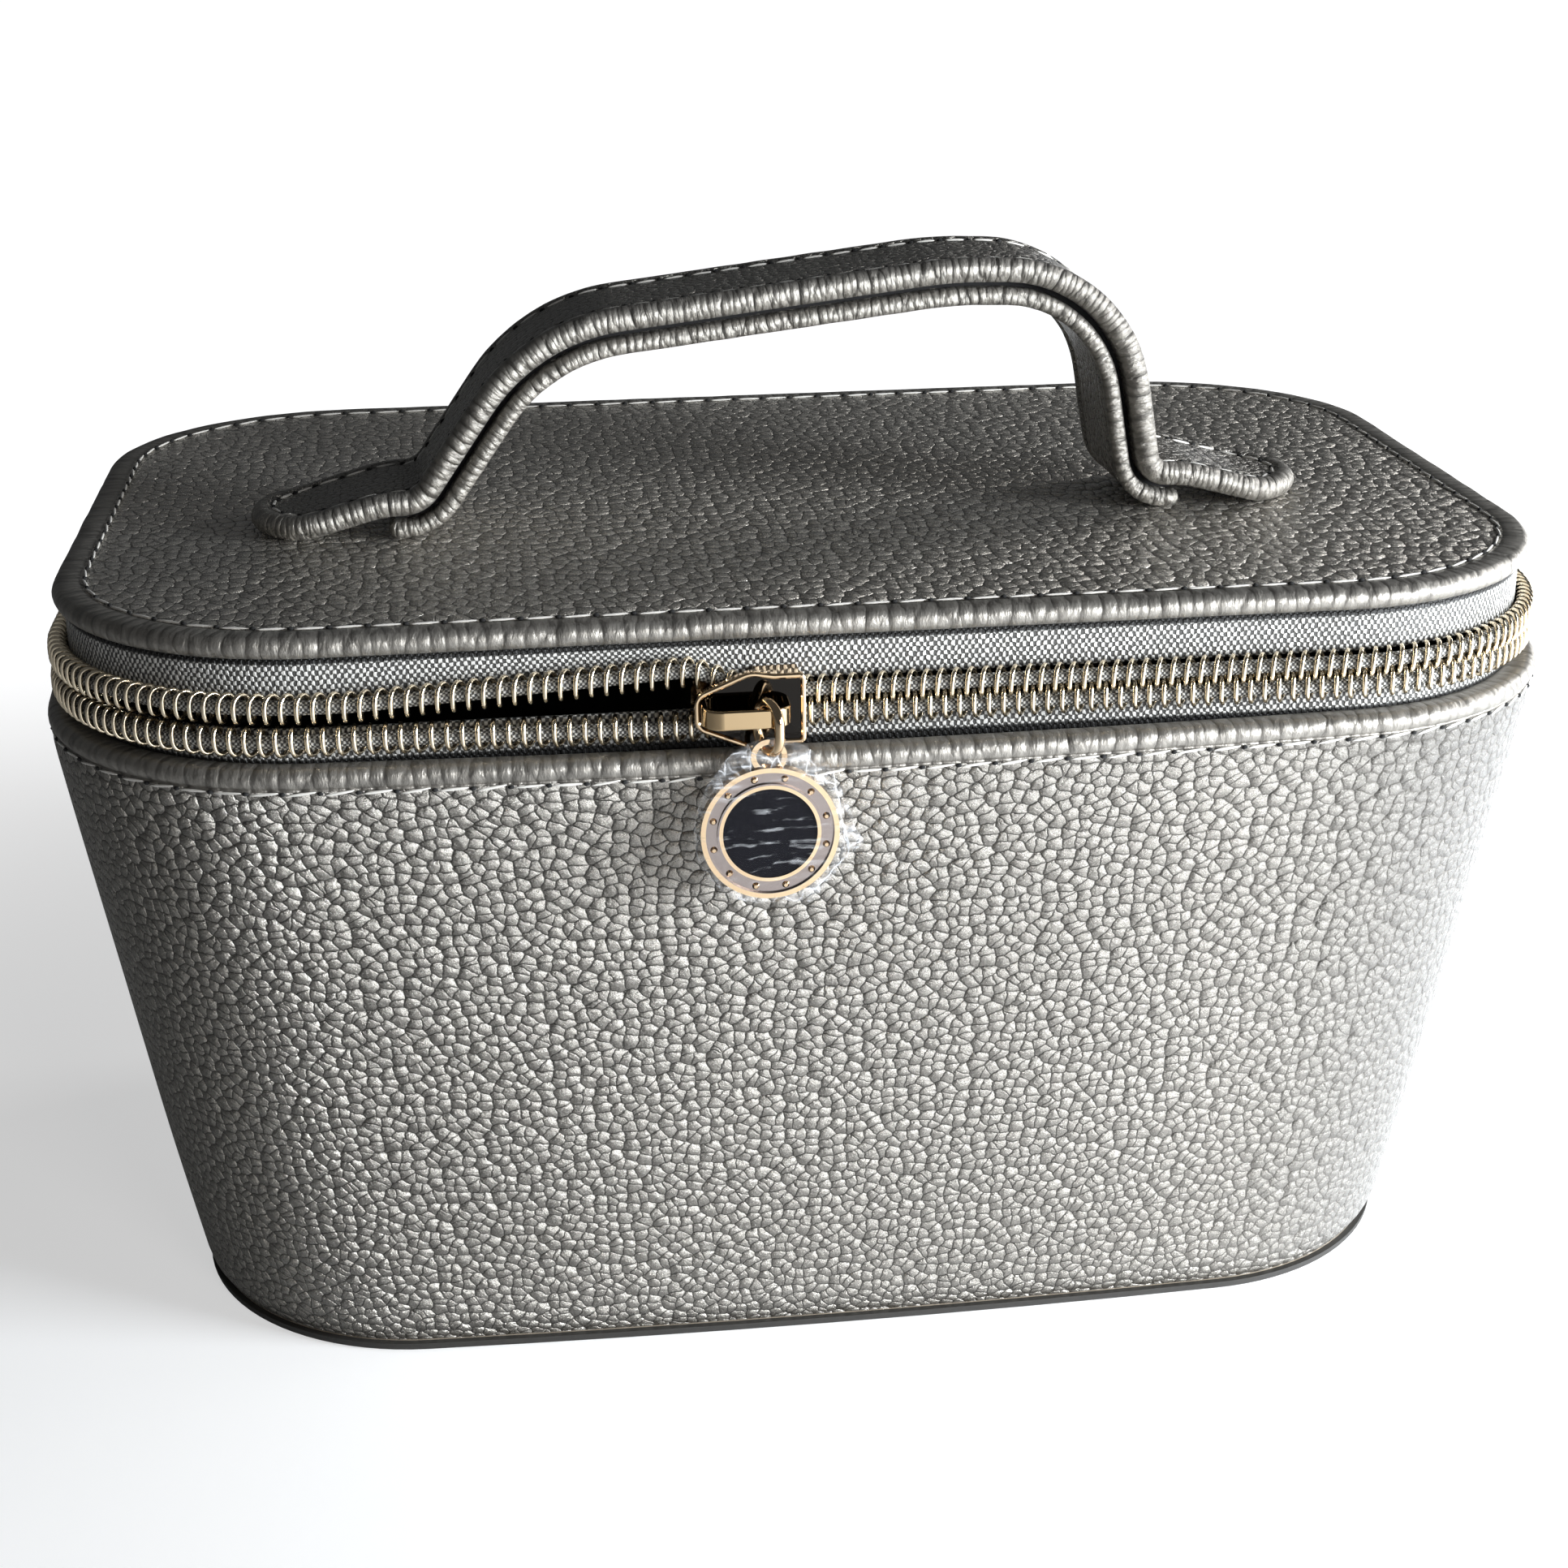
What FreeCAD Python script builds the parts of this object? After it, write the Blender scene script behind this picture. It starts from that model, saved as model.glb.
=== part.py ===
import FreeCAD
import Part
import math
import os

os.makedirs("parts", exist_ok=True)
Vector = FreeCAD.Vector
UP = Vector(0, 0, 1)
EAST = Vector(1, 0, 0)
BACK = Vector(0, 1, 0)

# Vanity case. +X is the owner's right, -Y the front with the zip slider, +Z up.
# The origin lies on the table, under the middle of the base. Millimetres.

# ---- plan of the lid, which the zip follows -------------------------------------
LID_HALF_X = 120.0
LID_HALF_Y = 78.0
LID_CORNER_R = 42.0
# ---- plan of the base and of the rim of the body --------------------------------
BASE_HALF_X = 108.0
BASE_HALF_Y = 61.0
BASE_CORNER_R = 41.0
BASE_BOW = 1.5            # how far the long base edges bulge at their middle
RIM_OUT = 2.6             # rim face outside the lid plan
RIM_BOW = 2.4             # bulge of the long rim edges
SIDE_BOW = 1.0            # bulge of the short sides, top and bottom
# ---- heights -------------------------------------------------------------------
ZIP_Z = 119.0             # middle of the closed zip
RIM_DROP = 6.3            # rim of the body below the middle of the zip
LID_RISE = 9.7            # underside of the lid above the middle of the zip
LID_EDGE_H = 3.6          # height of the rolled lid edge
# ---- sheet goods ----------------------------------------------------------------
LEATHER_T = 1.1
BOARD_T = 2.0
LINING_T = 0.7
BASE_COVER_T = 1.5
BASE_COVER_ROUND = 0.9
LID_BOARD_T = 1.7
LID_EDGE_W = 4.6          # width of the rolled lid edge
LID_EDGE_ROUND = 1.6
HEM_H = 3.4               # height of the turned hem on the rim
HEM_ROUND = 1.2
SHEET_GAP = 0.1           # glue line between a sheet and the rolled edge round it
# ---- zip ------------------------------------------------------------------------
TAPE_T = 0.8
TAPE_FACE = -1.7          # outer face of the tapes, from the lid plan
TAPE_EDGE_UP = 3.1        # lower edge of the upper tape above the zip's middle
TAPE_EDGE_DOWN = 1.2      # upper edge of the lower tape below the zip's middle
BINDING_T = 0.5
BINDING_H = 5.0           # binding over the sewn edge of each tape
BINDING_TAIL = 3.0        # binding that hangs below the hem
COIL_W = 4.9              # height of one coil
COIL_D = 3.3              # how far a coil stands off its tape
COIL_WIRE = 0.9
COIL_PITCH = 2.25
COIL_MESH = 1.1           # how far the closed coils reach into each other
COIL_SEAT = 0.02          # sewing thread under each turn of the coil
COIL_REST = 0.15          # slack between opened coils that lie side by side
COIL_RISE = 3.6           # extra gap of the opened coils beside the slider
UPPER_SHARE = 0.8         # share of that gap that the upper coil takes
OPEN_LENGTH = 50.0        # how far left of the slider the gap closes again
COIL_END_GAP = 0.3        # last turn to the hinge strip
# ---- hinge strip at the back ----------------------------------------------------
STRIP_HALF_X = 58.0
STRIP_T = 1.0
STRIP_FOLD_GAP = 0.2      # half the fold between the two strip halves
# ---- handle ---------------------------------------------------------------------
STRAP_W = 27.0
STRAP_T = 4.0
STRAP_ROUND = 1.5
UNDER_W = 25.0
UNDER_T = 2.8
UNDER_ROUND = 1.0
CORE_W = 18.0
CORE_T = 1.0
CORE_BACK = 1.4           # core ends short of the under strap
HANDLE_Y = -13.5          # middle of the handle from the middle of the lid
GRIP_RISE = 38.6          # crest of the handle's middle line above the lid
GRIP_X = 26.0
LEFT_FOOT_X = -61.0
RIGHT_FOOT_X = 57.9
LEFT_SHOULDER_X = -41.6
RIGHT_SHOULDER_X = 52.0
LEFT_SHOULDER_DROP = 7.8  # shoulder below the crest
RIGHT_SHOULDER_DROP = 0.8
LEFT_FOOT_R = 8.0
RIGHT_FOOT_R = 6.0
LEFT_SHOULDER_R = 30.0
RIGHT_SHOULDER_R = 21.0
GRIP_R = 70.0
LEFT_TOE = 6.8            # under strap beyond the foot of the handle
RIGHT_TOE = 7.8
LEFT_TAB = 29.5           # upper strap beyond the foot of the handle
RIGHT_TAB = 30.6
STEP_L = 5.5              # run in which the tab steps down past the under strap
STEP_R = 5.6
# ---- slider ---------------------------------------------------------------------
SLIDER_X = -14.5
SLIDER_L = 16.4
SLIDER_GAP = 0.35         # running gap between the slider and the zip
SLIDER_SHOULDER = 0.6     # the plates stand out past the flanges at mid length
PLATE_T = 1.3
PLATE_ROUND = 0.4
FLANGE_T = 0.7
MESH_END = 1.0            # the coils part this far right of the slider's middle
NOSE_HALF_H = 2.6
NOSE_R = 2.3
SHOULDER_R = 4.0
NECK_X = 3.6              # the shoulder has run out this far right of the middle
NECK_R = 3.0
TAIL_R = 0.7
BACK_PLATE_T = 1.1
POST_INSET = 0.9          # nose of the post behind the nose of the plates
POST_GAP = 0.25
POST_TIP = 0.5
POST_POINT = 0.1          # thickness of the post where it ends in a point
BAR_H = 3.0
BAR_T = 1.1
BAR_X = -0.8              # middle of the bar from the slider's middle
BAR_HALF_L = 6.1
BAR_RISE = 4.0            # middle of the bar in front of the plate
BAR_BEND_R = 2.6
BAR_ROUND = 0.3
# ---- pull -----------------------------------------------------------------------
LINK_X = 2.2              # from the slider's middle
LINK_WIRE_R = 0.75
LINK_R = 3.0              # half width of the link, to the middle of its wire
LINK_STRAIGHT = 1.6
LINK_TURN = 63.0          # the link's plane, turned about the vertical
LINK_PLAY = 0.25
PENDANT_R = 10.4
PENDANT_T = 2.0
PENDANT_RIM = 0.8
PENDANT_RELIEF = 0.45
ENAMEL_R = 7.1
ENAMEL_T = 0.9
BAIL_R = 2.7
BAIL_HOLE_R = 1.9
BAIL_T = 0.9
BAIL_SINK = 1.1           # bail overlaps the pendant's rim
BAIL_PLAY = 0.7           # wire above the middle of the bail's hole
PIP_COUNT = 12
PIP_R = 0.55
PIP_H = 0.4
FILM_T = 0.2
FILM_GAP = 0.35
FILM_SIDE = 2.0
FILM_TOP = 1.0            # film above the top of the pendant's rim

RIM_Z = ZIP_Z - RIM_DROP
LID_Z = ZIP_Z + LID_RISE
LID_TOP = LID_Z + LID_EDGE_H
HEM_Z = RIM_Z - HEM_H
COIL_MEET = (COIL_W - COIL_MESH) / 2
COIL_APART = (COIL_W + COIL_REST) / 2
SAME = 1e-3               # lengths below this count as none


class Outline:
    """Rounded rectangle in plan whose sides may bulge outwards by a small bow."""

    def __init__(self, half_x, half_y, corner_r, bow_y=0.0, bow_x=0.0):
        self.half_x = half_x
        self.half_y = half_y
        self.corner_r = corner_r
        self.bow_y = bow_y
        self.bow_x = bow_x

    def grown(self, out):
        """The outline a constant distance further out."""
        return Outline(self.half_x + out, self.half_y + out, self.corner_r + out,
                       self.bow_y, self.bow_x)

    def wire(self, z):
        """Closed wire of eight tangent edges at height z."""
        half_x, half_y, radius = self.half_x, self.half_y, self.corner_r
        end_x = half_x - radius
        end_y = half_y - radius
        # slope of each bulging side where it runs into the corner circle
        lean_y = 2 * math.atan2(self.bow_y, end_x)
        lean_x = 2 * math.atan2(self.bow_x, end_y)
        centre = Vector(end_x, end_y, z)
        along = Vector(math.sin(lean_y), math.cos(lean_y), 0) * radius
        across = Vector(math.cos(lean_x), math.sin(lean_x), 0) * radius
        middle = (along + across).normalize() * radius
        long_end = centre + along
        short_end = centre + across
        long_bulge = long_end.x * math.tan(lean_y / 2)
        short_bulge = short_end.y * math.tan(lean_x / 2)
        long_mid = Vector(0, long_end.y + long_bulge, z)
        short_mid = Vector(short_end.x + short_bulge, 0, z)
        corner_mid = centre + middle

        def turned(p, sx, sy):
            return Vector(p.x * sx, p.y * sy, p.z)

        def side(a, b, mid, bow):
            if bow > 0:
                return Part.Arc(a, mid, b).toShape()
            return Part.LineSegment(a, b).toShape()

        edges = []
        for sx, sy in ((1, 1), (-1, 1), (-1, -1), (1, -1)):
            corner = Part.Arc(turned(short_end, sx, sy), turned(corner_mid, sx, sy),
                              turned(long_end, sx, sy)).toShape()
            edges.append(corner)
        for sy in (1, -1):
            edges.append(side(turned(long_end, 1, sy), turned(long_end, -1, sy),
                              turned(long_mid, 1, sy), self.bow_y))
        for sx in (1, -1):
            edges.append(side(turned(short_end, sx, 1), turned(short_end, sx, -1),
                              turned(short_mid, sx, 1), self.bow_x))
        return Part.Wire(Part.__sortEdges__(edges))


LID = Outline(LID_HALF_X, LID_HALF_Y, LID_CORNER_R)
RIM = Outline(LID_HALF_X + RIM_OUT, LID_HALF_Y + RIM_OUT, LID_CORNER_R + RIM_OUT,
              RIM_BOW, SIDE_BOW)
BASE = Outline(BASE_HALF_X, BASE_HALF_Y, BASE_CORNER_R, BASE_BOW, SIDE_BOW)


def save(node, shape):
    shape.exportStep("parts/" + node + ".step")


def plate(outline, z, height):
    return Part.Face(outline.wire(z)).extrude(Vector(0, 0, height))


def ring(outer, inner, z, height):
    return plate(outer, z, height).cut(plate(inner, z, height))


def rounded(shape, radius, heights):
    """Round the horizontal edges that lie at the given heights."""
    edges = []
    for edge in shape.Edges:
        box = edge.BoundBox
        if box.ZLength < SAME and min(abs(box.ZMin - z) for z in heights) < SAME:
            edges.append(edge)
    return shape.makeFillet(radius, edges)


def outer_edges(shape, outline, z):
    """Edges at height z on the outline itself."""
    wire = outline.wire(z)
    found = []
    for edge in shape.Edges:
        box = edge.BoundBox
        if box.ZLength < SAME and abs(box.ZMin - z) < SAME:
            middle = edge.valueAt((edge.FirstParameter + edge.LastParameter) / 2)
            if wire.distToShape(Part.Vertex(middle))[0] < SAME:
                found.append(edge)
    return found


def tapered(inset):
    """Solid of the tapering body, its walls moved in by the inset."""
    wires = [BASE.grown(-inset).wire(BASE_COVER_T), RIM.grown(-inset).wire(HEM_Z)]
    return Part.makeLoft(wires, True, True)


def slab(z, height):
    half = 2 * LID_HALF_X
    return Part.makeBox(2 * half, 2 * half, height, Vector(-half, -half, z))


def body_parts():
    skin_in = tapered(LEATHER_T)
    board_in = tapered(LEATHER_T + BOARD_T)
    lining_in = tapered(LEATHER_T + BOARD_T + LINING_T)
    board_top = BASE_COVER_T + BOARD_T
    lining_top = board_top + LINING_T
    cover = plate(BASE, 0, BASE_COVER_T)
    save("base_cover", rounded(cover, BASE_COVER_ROUND, [0]))
    save("wall_leather", tapered(0).cut(skin_in))
    save("wall_board", skin_in.cut(board_in))
    inner_base = board_in.common(slab(BASE_COVER_T, BOARD_T))
    save("base_board", inner_base)
    lining = board_in.cut(lining_in).cut(slab(0, board_top))
    save("wall_lining", lining)
    save("base_lining", lining_in.common(slab(board_top, lining_top - board_top)))
    hem = ring(RIM, LID.grown(TAPE_FACE), HEM_Z, HEM_H)
    save("rim_hem", hem.makeFillet(HEM_ROUND, outer_edges(hem, RIM, RIM_Z)))


def back_gap(z, height, half_x):
    """Block over the middle of the back wall, to part the zip from the hinge strip."""
    return Part.makeBox(2 * half_x, LID_HALF_Y, height, Vector(-half_x, 0, z))


def band(face, thickness, z, height):
    """Upright band round the case whose outer face lies at the given offset."""
    return ring(LID.grown(face), LID.grown(face - thickness), z, height)


def tape_parts():
    upper_z = ZIP_Z + TAPE_EDGE_UP
    lower_top = ZIP_Z - TAPE_EDGE_DOWN
    gap = back_gap(0, 2 * LID_TOP, STRIP_HALF_X)
    upper = band(TAPE_FACE, TAPE_T, upper_z, LID_Z - upper_z)
    save("upper_zip_tape", upper.cut(gap))
    lower = band(TAPE_FACE, TAPE_T, HEM_Z, lower_top - HEM_Z)
    save("lower_zip_tape", lower.cut(gap))
    inner = TAPE_FACE - max(TAPE_T, STRIP_T)
    outer_gap = inner + STRIP_T - TAPE_T
    save("upper_binding", band(outer_gap, BINDING_T, LID_Z - BINDING_H, BINDING_H).cut(gap))
    low_z = HEM_Z - BINDING_TAIL
    save("lower_binding", band(outer_gap, BINDING_T, low_z, BINDING_H).cut(gap))


def strip_parts():
    middle = back_gap(0, 2 * LID_TOP, STRIP_HALF_X)
    fold = STRIP_FOLD_GAP
    upper = band(TAPE_FACE, STRIP_T, ZIP_Z + fold, LID_RISE - fold)
    save("hinge_strip_upper", upper.common(middle))
    lower = band(TAPE_FACE, STRIP_T, HEM_Z, ZIP_Z - fold - HEM_Z)
    save("hinge_strip_lower", lower.common(middle))


def lid_parts():
    edge = ring(LID, LID.grown(-LID_EDGE_W), LID_Z, LID_EDGE_H)
    corners = outer_edges(edge, LID, LID_Z) + outer_edges(edge, LID, LID_TOP)
    save("lid_piping", edge.makeFillet(LID_EDGE_ROUND, corners))
    inside = LID.grown(-LID_EDGE_W - SHEET_GAP)
    leather_z = LID_TOP - LEATHER_T
    board_z = leather_z - LID_BOARD_T
    save("lid_leather", plate(inside, leather_z, LEATHER_T))
    save("lid_board", plate(inside, board_z, LID_BOARD_T))
    save("lid_lining", plate(inside, board_z - LINING_T, LINING_T))


def path_points():
    """Middle of the coils in plan: point, outward direction and length from the start.

    The run starts at the back right, goes round the front and ends at the back left."""
    radius = LID_CORNER_R + TAPE_FACE + COIL_D / 2
    half_y = LID_HALF_Y + TAPE_FACE + COIL_D / 2
    half_x = LID_HALF_X + TAPE_FACE + COIL_D / 2
    back_run = half_x - radius - STRIP_HALF_X - COIL_END_GAP - COIL_WIRE / 2
    runs = [("line", Vector(half_x - radius - back_run, half_y, 0), EAST, back_run),
            ("arc", Vector(half_x - radius, half_y - radius, 0), 90, 0),
            ("line", Vector(half_x, half_y - radius, 0), BACK * -1, 2 * (half_y - radius)),
            ("arc", Vector(half_x - radius, radius - half_y, 0), 0, 0),
            ("line", Vector(half_x - radius, -half_y, 0), EAST * -1, 2 * (half_x - radius)),
            ("arc", Vector(radius - half_x, radius - half_y, 0), -90, 0),
            ("line", Vector(-half_x, radius - half_y, 0), BACK, 2 * (half_y - radius)),
            ("arc", Vector(radius - half_x, half_y - radius, 0), -180, 0),
            ("line", Vector(radius - half_x, half_y, 0), EAST, back_run)]
    return runs, radius


def on_path(s):
    """Point and outward angle in degrees at length s along the zip."""
    runs, radius = path_points()
    quarter = radius * math.pi / 2
    for kind, start, heading, length in runs:
        if kind == "line":
            if s <= length:
                angle = math.degrees(math.atan2(heading.y, heading.x)) + 90
                return start + heading * s, angle
            s -= length
        else:
            if s <= quarter:
                angle = heading - math.degrees(s / radius)
                turn = math.radians(angle)
                return start + Vector(math.cos(turn), math.sin(turn), 0) * radius, angle
            s -= quarter
    kind, start, heading, length = runs[-1]
    angle = math.degrees(math.atan2(heading.y, heading.x)) + 90
    return start + heading * length, angle


def path_length():
    runs, radius = path_points()
    straight = sum(length for kind, start, heading, length in runs)
    return straight + 4 * radius * math.pi / 2


def middle_of_path():
    return path_length() / 2


def coil_offset(s, upper):
    """Height of a coil's middle from the zip's middle, at length s along the zip."""
    ahead = s - middle_of_path() + SLIDER_X
    apart_at = -MESH_END
    nose = SLIDER_L / 2
    share = UPPER_SHARE if upper else 1 - UPPER_SHARE
    full = COIL_APART + COIL_RISE * share
    if ahead <= apart_at:
        offset = COIL_MEET
    elif ahead <= nose:
        offset = COIL_MEET + (full - COIL_MEET) * (ahead - apart_at) / (nose - apart_at)
    elif ahead <= nose + OPEN_LENGTH:
        fade = (ahead - nose) / OPEN_LENGTH
        offset = full + (COIL_APART - full) * fade
    else:
        offset = COIL_APART
    return offset if upper else -offset


def coil(upper):
    turns = []
    start = COIL_PITCH / 2 if upper else 0.0
    count = int((path_length() - start - COIL_WIRE) / COIL_PITCH)
    for i in range(count + 1):
        s = start + i * COIL_PITCH
        point, angle = on_path(s)
        turn = Part.makeBox(COIL_D - COIL_SEAT, COIL_WIRE, COIL_W,
                            Vector(-COIL_D / 2 + COIL_SEAT, -COIL_WIRE / 2, -COIL_W / 2))
        turn.rotate(Vector(0, 0, 0), UP, angle)
        turn.translate(point + Vector(0, 0, ZIP_Z + coil_offset(s, upper)))
        turns.append(turn)
    return Part.makeCompound(turns)


def coil_parts():
    save("upper_coil", coil(True))
    save("lower_coil", coil(False))


def rounded_path(points, shift=0.0):
    """Edges of a path in the XZ plane: points are (x, z, corner radius).

    The whole path is moved to its left by the shift, corners included."""
    moved = []
    count = len(points)
    for i in range(count):
        x, z, radius = points[i]
        before = points[max(i - 1, 0)]
        after = points[min(i + 1, count - 1)]
        a = Vector(x - before[0], 0, z - before[1])
        b = Vector(after[0] - x, 0, after[1] - z)
        if a.Length == 0:
            a = b
        if b.Length == 0:
            b = a
        a.normalize()
        b.normalize()
        left = Vector(-a.z - b.z, 0, a.x + b.x).normalize()
        turn = a.x * b.z - a.z * b.x
        half = a.getAngle(b) / 2
        spot = Vector(x, 0, z) + left * (shift / math.cos(half))
        new_radius = radius - shift if turn > 0 else radius + shift
        moved.append((spot, new_radius, a, b, half))
    edges = []
    last = moved[0][0]
    for spot, radius, a, b, half in moved[1:-1]:
        reach = radius * math.tan(half)
        start = spot - a * reach
        end = spot + b * reach
        inward = (b - a).normalize()
        centre = spot + inward * (radius / math.cos(half))
        middle = centre - inward * radius
        edges.append(Part.LineSegment(last, start).toShape())
        edges.append(Part.Arc(start, middle, end).toShape())
        last = end
    edges.append(Part.LineSegment(last, moved[-1][0]).toShape())
    return edges, moved[0][0], moved[-1][0]


def strap_solid(points, low, high, width, edge_r):
    """Strap of the given width between two shifts of one path, its long edges rounded."""
    under, start_a, end_a = rounded_path(points, low)
    over, start_b, end_b = rounded_path(points, high)
    ends = [Part.LineSegment(end_a, end_b).toShape(),
            Part.LineSegment(start_a, start_b).toShape()]
    face = Part.Face(Part.Wire(Part.__sortEdges__(under + over + ends)))
    solid = face.extrude(BACK * width)
    solid.translate(BACK * (-width / 2))
    if edge_r > 0:
        solid = solid.makeFillet(edge_r, long_edges(solid))
    return solid


def long_edges(shape):
    """Edges that run along a strap, not across it or upright at its ends."""
    found = []
    for edge in shape.Edges:
        box = edge.BoundBox
        across = box.XLength < SAME and box.ZLength < SAME
        upright = box.XLength < SAME and box.YLength < SAME
        if not across and not upright:
            found.append(edge)
    return found


def handle_path():
    """Middle line of the handle above the lid, from left foot to right foot."""
    seat = UNDER_T + CORE_T / 2
    left = [(LEFT_FOOT_X, seat, LEFT_FOOT_R),
            (LEFT_SHOULDER_X, GRIP_RISE - LEFT_SHOULDER_DROP, LEFT_SHOULDER_R),
            (GRIP_X, GRIP_RISE, GRIP_R)]
    right = [(RIGHT_SHOULDER_X, GRIP_RISE - RIGHT_SHOULDER_DROP, RIGHT_SHOULDER_R),
             (RIGHT_FOOT_X, seat, RIGHT_FOOT_R)]
    return left + right


def tab_end(tip_x, inward):
    """Half round end of the upper strap, flat on the lid."""
    radius = STRAP_W / 2
    join_x = tip_x + inward * radius
    puck = Part.makeCylinder(radius, STRAP_T, Vector(join_x, 0, 0))
    rims = [e for e in puck.Edges if e.BoundBox.ZLength < SAME]
    puck = puck.makeFillet(STRAP_ROUND, rims)
    corner = Vector(min(tip_x, join_x), -radius, 0)
    return puck.common(Part.makeBox(radius, STRAP_W, STRAP_T, corner))


def handle_parts():
    half = CORE_T / 2
    seat = UNDER_T + half
    flat = -half
    toe_left = LEFT_FOOT_X - LEFT_TOE
    toe_right = RIGHT_FOOT_X + RIGHT_TOE
    tip_left = LEFT_FOOT_X - LEFT_TAB
    tip_right = RIGHT_FOOT_X + RIGHT_TAB
    middle = handle_path()
    left_tab = [(tip_left + STRAP_W / 2, flat, 0), (toe_left - STEP_L, flat, STEP_R),
                (toe_left, seat, STEP_R)]
    right_tab = [(toe_right, seat, STEP_R), (toe_right + STEP_L, flat, STEP_R),
                 (tip_right - STRAP_W / 2, flat, 0)]
    strap = strap_solid(left_tab + middle + right_tab, half, half + STRAP_T, STRAP_W,
                        STRAP_ROUND)
    upper = strap.multiFuse([tab_end(tip_left, 1), tab_end(tip_right, -1)])
    short = [(toe_left, seat, 0)] + middle + [(toe_right, seat, 0)]
    under = strap_solid(short, -half - UNDER_T, -half, UNDER_W, UNDER_ROUND)
    inner = [(toe_left + CORE_BACK, seat, 0)] + middle + [(toe_right - CORE_BACK, seat, 0)]
    core = strap_solid(inner, -half, half, CORE_W, 0)
    for node, shape in (("handle_upper_strap", upper.removeSplitter()),
                        ("handle_under_strap", under), ("handle_core", core)):
        shape.translate(Vector(0, HANDLE_Y, LID_TOP))
        save(node, shape)


# ---- slider: u is the distance outwards from the lid plan, towards the viewer ----
COIL_FACE = TAPE_FACE + COIL_D
PLATE_U = COIL_FACE + SLIDER_GAP
PLATE_FRONT = PLATE_U + PLATE_T
BACK_PLATE_U = TAPE_FACE - TAPE_T - BINDING_T - SLIDER_GAP
BAR_U = PLATE_FRONT + BAR_RISE
BAR_Y = -LID_HALF_Y - BAR_U
FLANGE_Z = COIL_MEET + COIL_W / 2 + SLIDER_GAP
TAIL_HALF_H = FLANGE_Z + FLANGE_T


def closed_outline(points):
    """Closed wire in the XZ plane through (x, z, corner radius) points."""
    corners = []
    count = len(points)
    for i in range(count):
        x, z, radius = points[i]
        spot = Vector(x, 0, z)
        before = Vector(points[i - 1][0], 0, points[i - 1][1])
        after = Vector(points[(i + 1) % count][0], 0, points[(i + 1) % count][1])
        a = (spot - before).normalize()
        b = (after - spot).normalize()
        half = a.getAngle(b) / 2
        reach = radius * math.tan(half)
        inward = (b - a).normalize()
        middle = spot + inward * (radius / math.cos(half) - radius)
        corners.append((spot - a * reach, middle, spot + b * reach))
    edges = []
    for i in range(count):
        start, middle, end = corners[i]
        following = corners[(i + 1) % count][0]
        edges.append(Part.Arc(start, middle, end).toShape())
        if (following - end).Length > SAME:
            edges.append(Part.LineSegment(end, following).toShape())
    return Part.Wire(edges)


def slider_prism(points, low_u, high_u):
    """Prism with an outline round the slider's middle, between two depths."""
    face = Part.Face(closed_outline(points))
    solid = face.extrude(BACK * (low_u - high_u) * -1)
    solid.translate(Vector(SLIDER_X, -LID_HALF_Y - high_u, ZIP_Z))
    return solid


def plate_outline():
    half_l = SLIDER_L / 2
    shoulder = TAIL_HALF_H + SLIDER_SHOULDER
    upper = [(half_l, TAIL_HALF_H, TAIL_R), (NECK_X, TAIL_HALF_H, NECK_R),
             (0, shoulder, SHOULDER_R), (-half_l, NOSE_HALF_H, NOSE_R)]
    return upper + [(x, -z, radius) for x, z, radius in reversed(upper)]


def coil_edge_at(x, upper):
    """Height of the parted coil's inner edge beside the post."""
    s = middle_of_path() - SLIDER_X - x
    offset = coil_offset(s, upper)
    return offset - COIL_W / 2 if upper else offset + COIL_W / 2


def post_outline():
    nose_x = -SLIDER_L / 2 + POST_INSET
    wide_x = nose_x + POST_TIP
    top = coil_edge_at(wide_x, True) - POST_GAP
    bottom = coil_edge_at(wide_x, False) + POST_GAP
    # where the clear space between the coils has just opened
    x = wide_x
    while coil_edge_at(x, True) - coil_edge_at(x, False) > 2 * POST_GAP + POST_POINT:
        x += POST_POINT / 2
    tip = (coil_edge_at(x, True) + coil_edge_at(x, False)) / 2
    nose = (top + bottom) / 2
    inset = POST_TIP / 2
    return [(x, tip, POST_POINT / 5), (wide_x, top, inset), (nose_x, nose + inset, inset),
            (nose_x, nose - inset, inset), (wide_x, bottom, inset)]


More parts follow.
